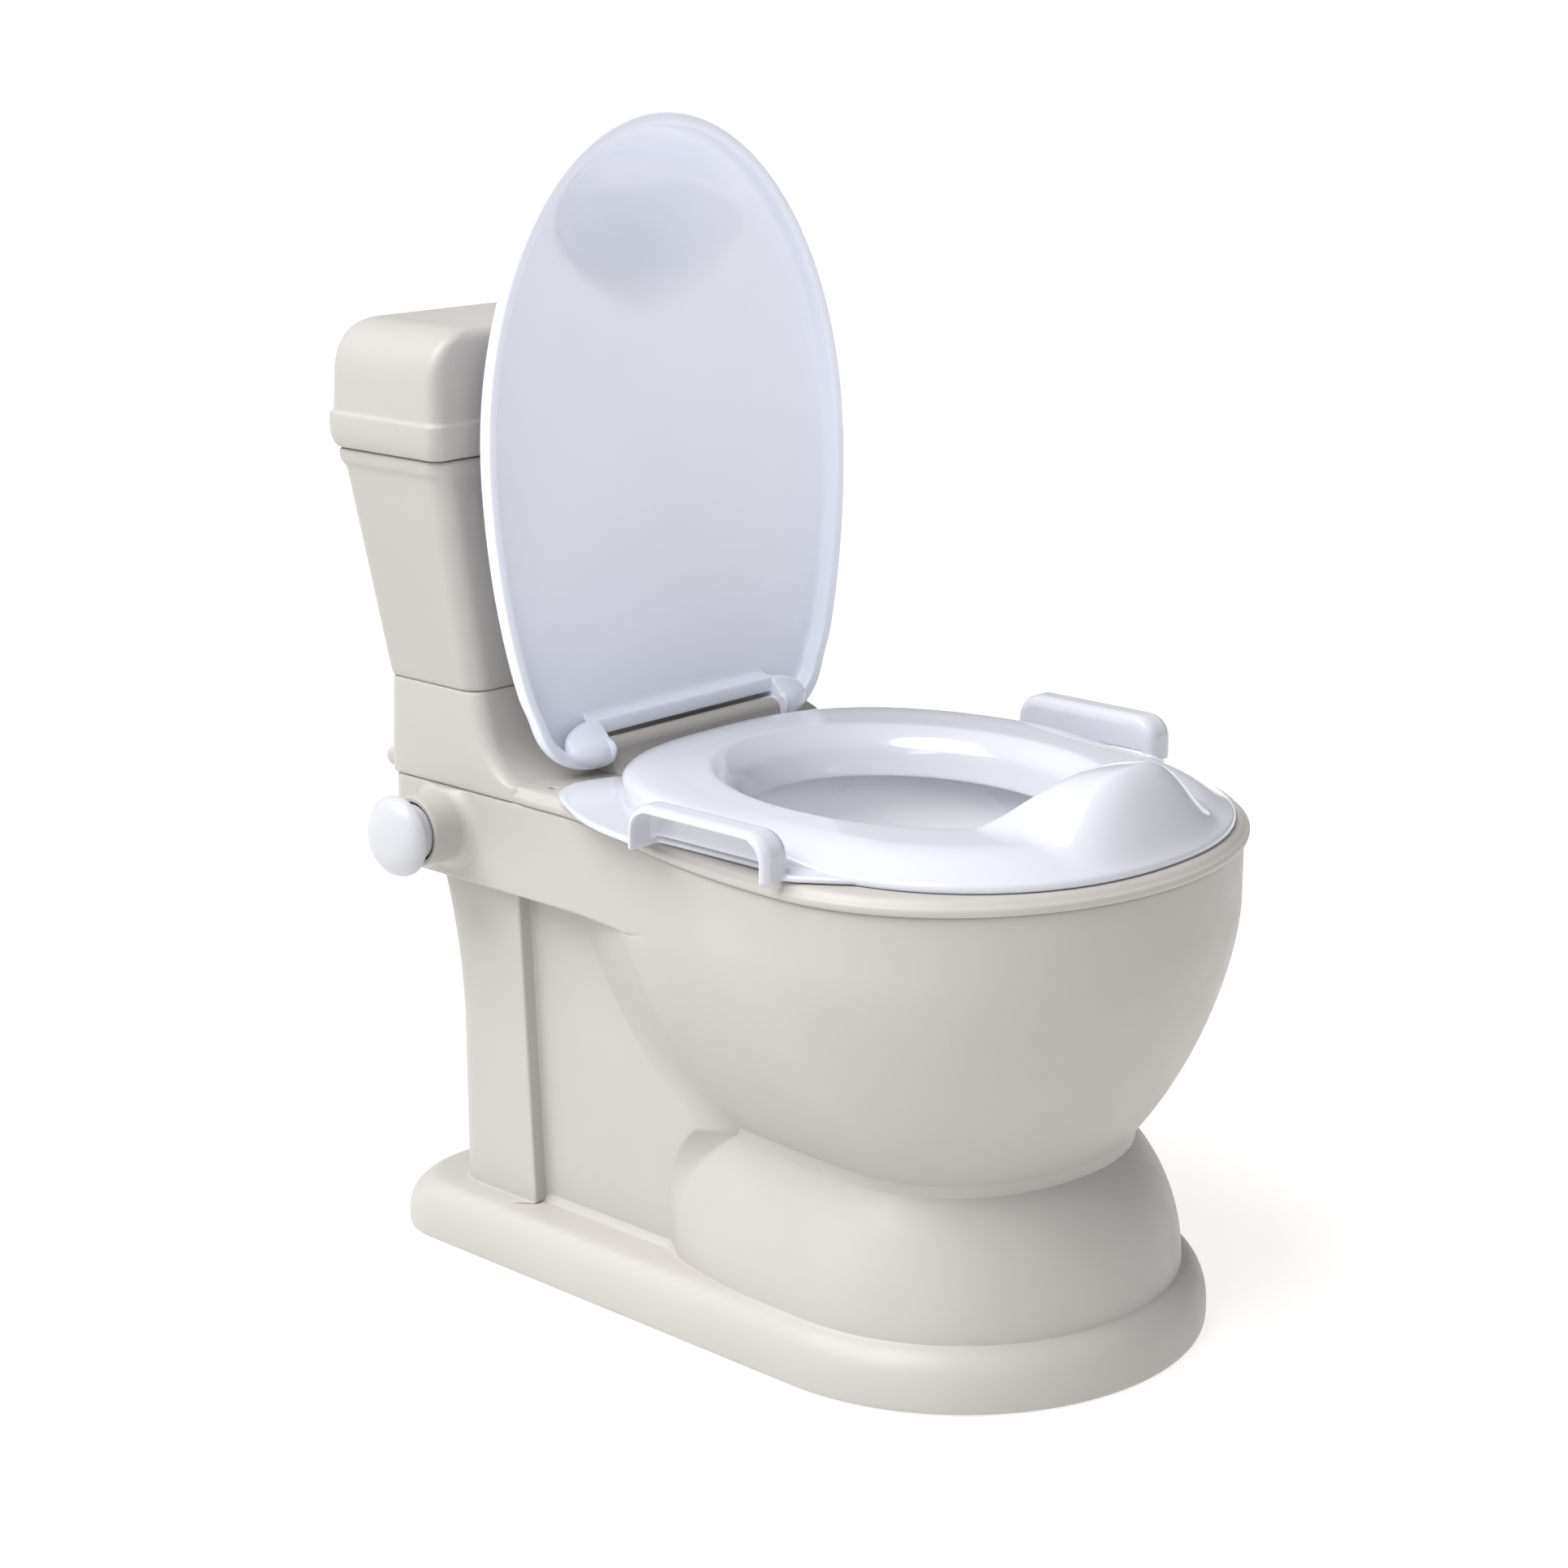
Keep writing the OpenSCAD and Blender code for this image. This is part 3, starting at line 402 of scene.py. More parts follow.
def base_shell():
    """Outer face from the plinth's underside up to the seam, and back down inside the wall."""
    plinth = [(0.8, 4.4), (0.8, 1.6), (1.0, 0.7), (2.2, 0.05), (9, 0), (14, 0.5), (18, 1.6),
              (21.5, 3.3), (24.4, 5.6), (26.6, 8.0), (27.9, 10.2)]
    rings = [plinth_ring(z, t) for z, t in plinth]
    ledge, foot = plinth_ring(28.3, 11.0), foot_ring(PLINTH_Z)
    rings += [mix(ledge, foot, t) for t in (0.4, 0.9, 1.0)]
    rings += [foot_ring(z) for z in (30.4, 35, 43, 52, 61, 70, 78, 84.5, 88.5, 91)]
    rings += [mix(foot_ring(CREASE_Z), bowl_ring(CREASE_Z), 0.5)]
    rings += [bowl_ring(z) for z in (94.6, 97, 101, 107, 114, 123, 134, 146, 159, 170, 179)]
    # The beam's underside stands out behind and fades into the bowl in front
    under, beam = bowl_ring(BEAM_Z), beam_ring(BEAM_Z, 0.9)
    rings += [faded(bowl_ring(186), 184), faded(bowl_ring(188.8), 187.5),
              faded(bowl_ring(BEAM_Z - 0.2), 191), faded(mix(under, beam, 0.12), 194.5),
              faded(mix(under, beam, 0.85), 198), faded(beam, 201.5),
              faded(beam_ring(BEAM_Z + 0.5, 0.2), 205), faded(beam_ring(BEAM_Z + 2.2), 208.5),
              faded(beam_ring(BEAM_Z + 15), 213), beam_ring(BEAM_Z + 30)]
    rings += [beam_ring(SEAM_Z - dz, t) for dz, t in ((6, 0), (1.6, 0), (0.4, 0.3), (0, 1.1))]
    rings += [beam_ring(SEAM_Z, WALL - 0.6), beam_ring(SEAM_Z - 1, WALL)]
    rings += [beam_ring(BEAM_Z + WALL, WALL)]
    rings += [bowl_ring(z, WALL) for z in (BEAM_Z + WALL - 1, 158, 128, 98)]
    rings += [foot_ring(z, WALL) for z in (88, 60, 28)]
    rings += [plinth_ring(24, 14), plinth_ring(14, 6), plinth_ring(1.8, 5)]
    return skin(rings, loop=True)


def turned(profile, limit=None):
    """Shell turned about the knob's axis. profile holds (distance from the middle, radius), and
    limit gives the largest radius for the sine of an angle."""
    count, rings = 64, []
    for x, r in profile:
        ring = []
        for k in range(count):
            a = 2 * math.pi * k / count
            rr = r if limit is None else min(r, limit(math.sin(a)))
            ring.append((-x, KNOB_Y + rr * math.cos(a), KNOB_Z + rr * math.sin(a)))
        rings.append(ring)
    return skin(rings)


def knob_boss():
    """Boss that carries the knob: its root flares into the beam and stops at the beam's edges.
    The bore in its end takes the knob's neck."""
    radius, flare, bore, end = 17.6, 7.0, 14.5, BOSS_END

    def limit(s):
        room = SEAM_Z - 0.5 - KNOB_Z if s > 0 else KNOB_Z - BEAM_Z - 0.5
        return room / max(abs(s), 1e-6)

    profile = [(BEAM - 2, radius + flare + 2), (BEAM - 0.6, radius + flare + 1)]
    profile += [(BEAM - 0.1 + flare * (1 - math.cos(a)), radius + flare * (1 - math.sin(a)))
                for a in np.radians(np.linspace(6, 90, 8))]
    profile += [(end - 3, radius - 0.1), (end - 0.7, radius - 0.2), (end - 0.1, radius - 0.7),
                (end, radius - 1.6), (end, bore + 0.7), (end - 0.4, bore + 0.1),
                (end - 8.4, bore), (end - 8.9, bore - 0.1), (end - 9, bore - 0.7),
                (end - 9, bore - 8.5)]
    return turned(profile, limit=limit)


# ---------------------------------------------------------------- deck

def deck_ring(z, t):
    """Outline of the rim and deck, inset by t."""
    return at(body_outline(RIM[0], RIM[1], BOWL_BACK, 2, 108, BEAM_START, BEAM + 1, 196,
                           BEAM + 1, 281, 9, t, BOWL_Y0), z)


def hole_ring(z, grow):
    """Ellipse of the pot opening with one point towards each point of the deck's outline."""
    p = deck_ring(z, 0)
    a, b = HOLE[0] + grow, HOLE[1] + grow
    k = 1 / np.sqrt((p[:, 0] / a) ** 2 + ((p[:, 1] - HOLE_Y) / b) ** 2)
    return np.column_stack([p[:, 0] * k, HOLE_Y + (p[:, 1] - HOLE_Y) * k, p[:, 2]])


def rim_ring(z, t):
    """Deck ring inset by t, or by a little over half a millimetre where the collar hides it."""
    ring, hidden = deck_ring(z, t), deck_ring(z, 2 + 0.15 * t)
    w = smoothstep(ring[:, 1], 180, 194)[:, None]
    return ring * (1 - w) + hidden * w


def deck_plate():
    """Rim and deck: the edge with its step, the flat top, and the recess round the pot opening."""
    side = [(0, 5.4), (0, 2.0), (0.3, 0.9), (1.1, 0.2), (2.4, 0), (3.6, 0.1), (4.4, 0.8),
            (4.9, 1.7), (5.8, 2.4), (6.9, 3.4), (7.7, 4.9), (8, 7)]
    rings = [rim_ring(SEAM_Z + dz, t) for dz, t in side]
    flat = deck_ring(DECK_Z, 8)
    rings += [mix(flat, hole_ring(DECK_Z, 9.4), t) for t in (0.33, 0.67, 1)]
    rings += [hole_ring(DECK_Z - dz, g) for dz, g in ((0.4, 8.2), (3.0, 8), (3.5, 7.2),
                                                      (3.5, 1.0), (3.9, 0), (6.2, 0), (6.5, 1),
                                                      (6.5, 10), (6.2, 11), (3.4, 11), (3, 12))]
    rings += [deck_ring(DECK_Z - 3, 7), deck_ring(DECK_Z - 3.4, 6), deck_ring(SEAM_Z + 1, 5.9)]
    return skin(rings, loop=True)


def collar():
    """Raised collar that carries the tank, flush with the deck's side, with a wide fillet on to
    the deck in front."""
    rings = []
    for z, t in ((SEAM_Z + 0.3, 2.4), (SEAM_Z + 0.3, 1.2), (SEAM_Z + 0.7, 0.4), (SEAM_Z + 2, 0),
                 (DECK_Z - 0.6, 0), (DECK_Z + 0.5, 0), (DECK_Z + 1.6, 0), (DECK_Z + 3.4, 0),
                 (DECK_Z + 6, 0), (DECK_Z + 9.5, 0), (DECK_Z + 14, 0), (DECK_Z + 20, 0),
                 (DECK_Z + 30, 0), (TANK_Z - 1.8, 0), (TANK_Z - 0.5, 0.3), (TANK_Z, 1.1),
                 (TANK_Z, 3)):
        share = (z - SEAM_Z) / (TANK_Z - SEAM_Z)
        up = min(1, max(0, (z - DECK_Z) / 22))
        front = 214 - 0.28 * (TANK_Z - max(z, DECK_Z)) - 18 * (1 - math.sqrt(1 - (1 - up) ** 2))
        rings.append(at(box_outline(108.7 - 0.7 * share - t, front + (t if up == 1 else 0),
                                    279.4 - 1.4 * share - t, 8), z))
    return skin(rings)


def peg(x, y, r, z0, z1):
    """Round cutter for a hole in the deck."""
    a = np.radians(np.arange(0, 360, 15))
    return skin([np.column_stack([x + r * np.cos(a), y + r * np.sin(a), np.full(len(a), z)])
                 for z in (z0, z1)])


DECK_HOLES = [peg(x, 173, 2, DECK_Z - 9, DECK_Z + 3) for x in (-96, 96)]


def rear_bead():
    """Low bead along the deck's rear edge."""
    rings = []
    for x, r in ((-106, 2), (-105.4, 4), (-103, 5.3), (-60, 5.5), (0, 5.5), (60, 5.5),
                 (103, 5.3), (105.4, 4), (106, 2)):
        a = np.radians(np.arange(0, 360, 22.5))
        rings.append(np.column_stack([np.full(len(a), x), 279.5 + r * np.cos(a),
                                      SEAM_Z + 6.5 + r * np.sin(a)]))
    return skin(rings)


def hinge_barrel():
    """Barrel between the cover's ears, with a foot that flares forward on to the deck."""
    r, middle_z = 5.4, HINGE_Z - 1.8
    section = [(HINGE_Y + r * math.cos(a), middle_z + r * math.sin(a))
               for a in np.radians(np.linspace(-40, 190, 14))]
    section += [(HINGE_Y - 5.8, DECK_Z + 7), (HINGE_Y - 7.4, DECK_Z + 3.2),
                (HINGE_Y - 11, DECK_Z + 0.6), (HINGE_Y - 12, DECK_Z - 1),
                (HINGE_Y + 6, DECK_Z - 1), (HINGE_Y + 5.2, DECK_Z + 4)]
    middle = np.array([HINGE_Y, HINGE_Z - 4])
    rings = []
    for x, k in ((-59.3, 0.9), (-59.2, 0.97), (-58, 1), (-30, 1), (0, 1), (30, 1), (58, 1),
                 (59.2, 0.97), (59.3, 0.9)):
        yz = middle + (np.array(section) - middle) * k
        rings.append(np.column_stack([np.full(len(yz), x), yz]))
    return skin(rings[::-1])


# ---------------------------------------------------------------- tank

def tank_ring(z, t=0.0):
    """Outline of the tank, which widens from the collar to the lid."""
    k = (z - TANK_Z) / (LID_Z - TANK_Z)
    return at(box_outline(BEAM + 22 * k - t, 214 - 3 * k + t, 278 + 5 * k - t, 10, 7), z)


def tank_shell():
    """Tank body with a bead under the lid, open at the top."""
    outer = [(0, 3), (0, 1.3), (0.3, 0.5), (1.4, 0.05), (4, 0), (30, 0), (60, 0), (85, 0)]
    rings = [tank_ring(TANK_Z + dz, t) for dz, t in outer]
    rings += [tank_ring(LID_Z - dz, t) for dz, t in (
        (12, 0), (9.4, -0.1), (8.4, -0.5), (7.4, -1.2), (6.0, -1.5), (3.0, -1.5), (1.4, -1.2),
        (0.6, -0.5), (0.3, 0.8), (0.3, 2.2), (1.2, 3), (20, 3))]
    rings += [tank_ring(TANK_Z + 5, 3), tank_ring(TANK_Z + 4, 4.5), tank_ring(TANK_Z + 4, 20)]
    return skin(rings)


def lid_ring(z, t, end=0.0):
    """Lid ring inset by t, and by end more at its two ends."""
    return at(box_outline(LID_HALF - t - end, 207 + t, 286 - t, max(3, 7 - 0.3 * t)), z)


def tank_lid():
    """The ends of the lid are rounded widely over the top, and its long edges tightly."""
    band, wall_t, end_r, edge_r = LID_Z + 17, 2.4, 25.0, 7.0
    rings = [lid_ring(TOP_Z - 3, 13, end_r - 6), lid_ring(TOP_Z - 4.5, 8.4, end_r - 14)]
    rings += [lid_ring(z, t) for z, t in (
        (TOP_Z - 24, 7.6), (LID_Z + 20, 7.2), (LID_Z + 9, 6.2), (LID_Z + 4.5, 13),
        (LID_Z + 3, 14), (LID_Z - 5.4, 14), (LID_Z - 6, 13.2), (LID_Z - 5.6, 12),
        (LID_Z - 1, 11.6), (LID_Z, 10.6), (LID_Z, 5), (LID_Z + 0.1, 3.6), (LID_Z + 0.9, 2.3),
        (LID_Z + 3.2, 1.1), (LID_Z + 7, 0.2), (LID_Z + 10, 0), (band - 2, 0), (band - 0.7, 0.2),
        (band, 0.7), (band + 0.5, 1.4), (band + 1.5, 1.8), (band + 6, 2.0), (band + 12, 2.2))]
    for q in (0, 12, 24, 35, 45, 54, 62, 69, 75, 80, 85, 90):
        down = end_r * (1 - math.sin(math.radians(q)))
        over = max(0.0, 1 - down / edge_r)
        rings.append(lid_ring(TOP_Z - down, wall_t + edge_r * (1 - math.sqrt(1 - over ** 2)),
                              end_r * (1 - math.cos(math.radians(q)))
                              - edge_r * (1 - math.sqrt(1 - over ** 2))))
    centre = np.array([0, (207 + 286) / 2, TOP_Z])
    rings += [mix(rings[-1], centre, t) for t in (0.25, 0.6)]
    return skin(rings)


# ---------------------------------------------------------------- seat

def seat_outline(t):
    """Outline of the seat's ring, inset by t: a full oval in front and a squarer one behind."""
    q = np.radians(np.linspace(0, 90, 33))
    a, b = SEAT[0] - t, SEAT[1] - t
    front = [(a * math.sin(v) ** (2 / 2.2), -b * math.cos(v) ** (2 / 2.2)) for v in q]
    rear = [(a * math.cos(v) ** (2 / 2.8), (SEAT[2] - t) * math.sin(v) ** (2 / 2.8))
            for v in q[1:]]
    half = np.array(front + rear)
    half[-1][0] = 0
    return mirrored(half)


def guard(x):
    """Share of the splash guard's height at x."""
    return (1 - np.abs(np.clip(x / GUARD_HALF, -1, 1)) ** 2.6) ** 1.5


def seat_lip(t, steep, gentle, rise):
    """Ring inset by t. Its height goes from steep at the sides and rear to gentle in front."""
    xy = seat_outline(t)
    front = 1 - smoothstep(xy[:, 1], -30, 55)
    z = steep * (1 - front) + gentle * front
    z = z + np.where(xy[:, 1] < 0, rise * guard(xy[:, 0]), 0)
    return np.column_stack([xy, z])


def seat_hole(a, b, z, rise=0.0):
    """Oval ring of the seat's hole, raised by rise at the guard's middle."""
    middle_y = 33
    p = seat_outline(0)
    y = p[:, 1] - middle_y
    k = 1 / np.sqrt((p[:, 0] / a) ** 2 + (y / b) ** 2)
    xy = np.column_stack([p[:, 0] * k, middle_y + y * k])
    return np.column_stack([xy, z + np.where(p[:, 1] < 0, rise * guard(xy[:, 0]), 0)])


def seat_ring():
    """Hollow ring with its splash guard: up the outside, down the hole, and back underneath."""
    peak = GUARD_Z - SEAT_Z - 3.5
    low = DECK_Z + 0.1
    rings = [seat_lip(3.4, low, low, 0), seat_lip(0.9, low, low, 0),
             seat_lip(0.15, low + 0.6, low + 0.5, 0), seat_lip(0, low + 2.2, low + 1.6, 0),
             seat_lip(0.3, low + 5, low + 3.0, 0), seat_lip(1.0, low + 8.5, low + 4.0, 0),
             seat_lip(2.4, low + 11.4, low + 4.8, 0.03 * peak),
             seat_lip(4.6, low + 13.2, low + 6.0, 0.12 * peak),
             seat_lip(8, low + 14.0, low + 8.0, 0.34 * peak),
             seat_lip(12, low + 14.3, low + 10.4, 0.6 * peak),
             seat_lip(16, low + 14.4, low + 12.3, 0.81 * peak),
             seat_lip(20, low + 14.4, low + 13.4, 0.94 * peak),
             seat_lip(23.5, low + 14.3, low + 14.0, 1.0 * peak),
             seat_lip(26.5, low + 14.2, low + 14.0, 0.985 * peak)]
    rings += [seat_hole(85.4, 103.6, SEAT_Z + 0.2, 0.84 * peak),
              seat_hole(83.4, 101.8, SEAT_Z - 0.2, 0.72 * peak),
              seat_hole(81, 99.4, SEAT_Z - 1.5, 0.56 * peak),
              seat_hole(77.6, 95.8, SEAT_Z - 3.6, 0.38 * peak),
              seat_hole(74.8, 92.2, SEAT_Z - 6.2, 0.22 * peak),
              seat_hole(72.6, 89, SEAT_Z - 9, 0.09 * peak),
              seat_hole(71, 86, SEAT_Z - 14, 0.02 * peak), seat_hole(69.4, 83.4, 239.5),
              seat_hole(68.4, 82.2, 236.6), seat_hole(68.8, 82.6, 236.05),
              seat_hole(70.2, 84, 236.05), seat_hole(70.8, 84.6, 237),
              seat_hole(73.4, 89, SEAT_Z - 14, 0.02 * peak),
              seat_hole(77, 94.6, SEAT_Z - 8, 0.2 * peak),
              seat_hole(82.4, 100, SEAT_Z - 3.4, 0.6 * peak)]
    rings += [seat_lip(28, low + 11.4, low + 11, 0.95 * peak),
              seat_lip(20, low + 11.4, low + 10.4, 0.86 * peak),
              seat_lip(12, low + 11.2, low + 7.4, 0.4 * peak),
              seat_lip(5.2, low + 8, low + 3.2, 0.02 * peak), seat_lip(4.2, low + 1.5, low + 1, 0)]
    return skin(rings, loop=True)


def wing():
    """Side flange: its outer edge spreads from the rear of the ring out to the handle and comes
    back to the ring in front."""
    h = HANDLE_HALF
    outer = [(70, 160), (82, 164), (91, 165.5), (99, 164), (106, 160), (111.5, 153.5),
             (117, 145), (122, 136), (127, 127), (131.5, 116), (135.5, 103), (h - 9, 90), (h - 7.2, 80),
             (h - 6.6, 73), (h - 6.8, 60), (h - 8, 30), (h - 9.5, 5), (h - 11, -6),
             (h - 14, -14), (h - 18.5, -21), (h - 24, -29), (h - 30, -37), (h - 37, -45)]
    outer = np.array(outer)
    # the plate's inner edge lies hidden 9 mm under the ring
    behind = outer[:, 1] > 0
    reach, power = np.where(behind, SEAT[2], SEAT[1]) - 9, np.where(behind, 2.8, 2.2)
    share = ((outer[:, 0] / (SEAT[0] - 9)) ** power
             + (np.abs(outer[:, 1]) / reach) ** power) ** (-1 / power)
    inner = outer * np.minimum(share, 0.97)[:, None]
    z0 = DECK_Z + 0.25
    rings = []
    for p, q in zip(outer, inner):
        d = (q - p) / max(np.linalg.norm(q - p), 1e-6)
        section = [(*(p + d * 0.9), z0), (*(p + d * 0.1), z0 + 0.6), (*p, z0 + 1.6),
                   (*(p + d * 0.2), z0 + 2.5), (*(p + d * 1.1), z0 + 3.1), (*q, z0 + 3.2),
                   (*q, z0)]
        rings.append(section)
    return skin(rings)


def arch(x0, x1, y0, y1, z0, z1, r, soft):
    """Block along X whose outline in the YZ plane is an arch: corner radius r at its top, and
    edges softened by soft at its two ends."""
    rings = []
    for x, t in ((x0, soft), (x0 + 0.3 * soft, 0.3 * soft), (x0 + soft, 0), (x1 - soft, 0),
                 (x1 - 0.3 * soft, 0.3 * soft), (x1, soft)):
        yz = [(y1 - t, z0)]
        yz += [(y1 - r + (r - t) * math.cos(a), z1 - r + (r - t) * math.sin(a))
               for a in np.radians(np.linspace(0, 90, 9))]
        yz += [(y0 + r + (r - t) * math.cos(a), z1 - r + (r - t) * math.sin(a))
               for a in np.radians(np.linspace(90, 180, 9))]
        yz += [(y0 + t, z0)]
        rings.append([(x, *p) for p in yz])
    return skin(rings)


def flange_and_handle():
    """Wing and hooded handle of one side, fused with soft fillets."""
    h = HANDLE_HALF
    z0 = DECK_Z + 0.25
    hood = raw_object("hood", [arch(h - 17.5, h, -9.5, 75, z0 + 0.3, 266.2, 12, 4.5)])
    pocket = raw_object("pocket", [arch(h - 14.6, h + 20, -5.6, 71, z0 - 6, 262.8, 9, 3)])
    combine(hood, pocket, "DIFFERENCE")
    handle = placed("handle", baked(hood))
    bpy.data.objects.remove(pocket)
    both = raw_object("both", [wing()])
    combine(both, handle, "UNION")
    notch = raw_object("notch", [arch(h - 18.4, h + 20, -5.6, 71, z0 - 6, z0 + 4.8, 3, 1)])
    combine(both, notch, "DIFFERENCE")
    voxels = both.modifiers.new("fuse", "REMESH")
    voxels.mode, voxels.voxel_size = "VOXEL", 0.0008
    soft = both.modifiers.new("soft", "SMOOTH")
    soft.factor, soft.iterations = 0.5, 7
    mesh = baked(both)
    for o in (handle, notch):
        bpy.data.objects.remove(o)
    return mesh


# ---------------------------------------------------------------- pot

def pot():
    """Pot with a rolled flange that hangs in the deck's recess."""
    def ring(a, b, z):
        q = np.radians(np.arange(0, 360, 4))
        return np.column_stack([a * np.sin(q), HOLE_Y - b * np.cos(q), np.full(len(q), z)])

    rim = DECK_Z - 3.5
    outer = [(40, 50, 108), (56, 66, 108), (63, 73, 108.8), (69, 79, 111.5), (74, 84.5, 118),
             (77.5, 88.5, 132), (81, 92.5, 155), (85, 97, 190), (88, 100, rim - 8),
             (89.6, 101.6, rim - 2), (90.6, 102.6, rim + 0.1), (92, 104, rim + 0.1),
             (97.6, 109.6, rim + 0.1), (98.8, 110.8, rim + 0.7), (98.9, 110.9, rim + 1.7),
             (98, 110, rim + 2.7), (94, 106, rim + 3), (90.4, 102.4, rim + 2.9),
             (88.6, 100.6, rim + 1.8), (87.4, 99.4, rim - 1), (85.4, 97.4, rim - 9),
             (82, 94, 190), (78, 89.5, 155), (74.5, 85.5, 132), (71.2, 82, 120),
             (67, 77, 114.6), (61, 71, 112), (54, 64, 111), (38, 48, 110.8)]
    return skin([ring(*p) for p in outer])


# ---------------------------------------------------------------- cover

def cover_w(s):
    """Half width of the cover at a distance s from the hinge."""
    if s > COVER_MID:
        return COVER_HALF * math.sqrt(max(0, 1 - ((s - COVER_MID) / (COVER_LEN - COVER_MID)) ** 2))
    return COVER_HALF * math.sqrt(1 - ((COVER_MID - s) / COVER_BACK) ** 2)


def cover_edges():
    """Outer edge of the lip and its inner edge, as (x, s, h): s forward from the hinge axis when
    closed, h up from the rim's plane. The ears curl round the hinge axis, from |x| of EAR_X to 92."""
    q = np.radians(np.linspace(0, 90, 33))
    edge = [(COVER_HALF * math.sin(v), COVER_MID + (COVER_LEN - COVER_MID) * math.cos(v), 0.0)
            for v in q]
    edge += [(cover_w(s), s, 0.0) for s in np.linspace(COVER_MID, 26, 14)[1:]]
    edge = np.array(edge)
    tangent = np.gradient(edge[:, :2], axis=0)
    inward = np.column_stack([tangent[:, 1], -tangent[:, 0]])
    inward /= np.linalg.norm(inward, axis=1)[:, None]
    inward[0] = (0, -1)
    lip = edge.copy()
    lip[:, :2] += 5.5 * inward
    ear_outer = [(100.6, 17, 0), (98.4, 9.5, 0), (94, 2.2, 0), (87.6, -4, 0), (80, -7.8, -0.4),
                 (73.5, -9.4, -1.4), (68, -9.6, -3.2), (63.6, -9, -5.4), (61.2, -7.6, -7.4),
                 (60.2, -5, -9.4), (EAR_X, -1.6, -10.6), (EAR_X, 1.4, -10.4), (EAR_X, 3.6, -8),
                 (EAR_X, 5, -4.6), (EAR_X, 5.4, -1.6), (59.6, 5.6, -0.3), (57.6, 5.6, 0),
                 (45, 5.6, 0), (30, 5.6, 0), (15, 5.6, 0), (0, 5.6, 0)]
    ear_inner = [(95, 18, 0), (93.2, 12, 0), (89.6, 6.6, 0), (84.4, 1.6, 0), (78.4, -2.6, -0.4),
                 (73.4, -5.6, -1.4), (69.2, -6.8, -3.2), (65.8, -6.6, -5.4), (63.8, -5.6, -7.4),
                 (63, -3.6, -8.8), (63, -1.2, -9.6), (63.2, 1.6, -9.2), (63.8, 4.6, -7.2),
                 (64.6, 8, -4.2), (65.2, 10.6, -1.6), (64.6, 12.4, -0.3), (62, 13, 0),
                 (46, 13, 0), (30, 13, 0), (15, 13, 0), (0, 13, 0)]
    return np.concatenate([edge, ear_outer]), np.concatenate([lip, ear_inner])


def dish(x, s):
    """Height of the cover's dish, the hollow that clears the splash guard."""
    r = (x / 70) ** 2 + ((s - 262) / 51) ** 2
    return 23 * np.clip(1 - r, 0, 1) ** 1.5


def cover_core(edge, ears, notch):
    """D-shaped ring well inside the cover, with one point for each point of its edge, of which
    the last ears + notch go round an ear and along the notch. It is an inset oval whose hinge
    end is cut straight across."""
    end_s, radius = 25.0, 13
    centre = np.array([0.0, COVER_MID])
    sides = edge[:-(ears + notch), :2]
    core = [centre + (p - centre) * 0.87 for p in sides]
    last = core[-1]
    bend = arc((last[0] - radius, end_s + radius), radius, 0, -90, ears - 4)
    shift = last - (last[0], end_s + radius)
    bend = [p + shift * (1 - k / len(bend)) for k, p in enumerate(bend)]
    corner = bend[-1][0]
    flat = [np.array([corner + (EAR_X - corner) * k / 4, end_s]) for k in range(1, 5)]
    ends = [np.array([x, end_s]) for x in edge[-notch:, 0]]
    return np.array(core + bend + flat + ends)


def open_pose(local):
    """Points (x, s, h) of the closed cover, turned back to where it leans on the tank."""
    lean = math.radians(LEAN)
    x, s, h = np.moveaxis(np.asarray(local, float), -1, 0)
    return np.stack([x, HINGE_Y + math.sin(lean) * s + math.cos(lean) * h,
                     HINGE_Z + math.cos(lean) * s - math.sin(lean) * h], axis=-1)


def seat_cover():
    """Cover as one closed shell: its outer face with the dish, the rolled lip, and its inner
    face, in the open pose."""
    edge, lip = cover_edges()
    core = mirrored(cover_core(edge, 16, 5))
    edge, lip = mirrored(edge), mirrored(lip)
    centre = np.array([0.0, COVER_MID])

    def lifted(ring, h, towards=0.0, keep=1.0):
        """The ring moved by h and, in the plane, by a distance towards the cover's middle."""
        out = ring.copy()
        way = centre - out[:, :2]
        way /= np.linalg.norm(way, axis=1)[:, None]
        out[:, :2] += way * towards
        out[:, 2] = out[:, 2] * keep + h
        return out

    def shrunk(k, h):
        """The core ring at a share k of its size, raised by h and by the dish."""
        middle = np.array([0.0, 150.0])
        xy = middle + (core - middle) * k
        return np.column_stack([xy, h + dish(xy[:, 0], xy[:, 1])])

    shares = (0.06, 0.15, 0.25, 0.35, 0.45, 0.54, 0.62, 0.7, 0.77, 0.84, 0.9, 0.96)
    rings = [shrunk(k, 17.6 - 4.2 * k ** 2.4) for k in shares]
    outer_core = shrunk(1, 13.2)
    rings += [outer_core, mix(lifted(edge, 12.2, 2, 0), outer_core, 0.55),
              lifted(edge, 11.2, 7.0, 0), lifted(edge, 9.8, 3.4, 0.1),
              lifted(edge, 7.4, 1.2, 0.35), lifted(edge, 4.6, 0.3, 0.7), lifted(edge, 1.6),
              lifted(edge, 0.45, 0.25)]
    rings += [mix(edge, lip, 0.22), mix(edge, lip, 0.74), lifted(lip, 0.5, 0.1),
              lifted(lip, 2.0, 0.5, 0.9), lifted(lip, 4.4, 0.8, 0.7), lifted(lip, 6.6, 1.2, 0.4),
              lifted(lip, 8.2, 2.4, 0.15)]
    inner_core = shrunk(1, 10.1)
    rings += [mix(lifted(lip, 9.0, 4.4, 0), inner_core, t) for t in (0, 0.3, 0.7)]
    rings += [inner_core]
    rings += [shrunk(k, 14.3 - 4.1 * k ** 2.2) for k in shares[::-1]]
    return skin(open_pose(rings))


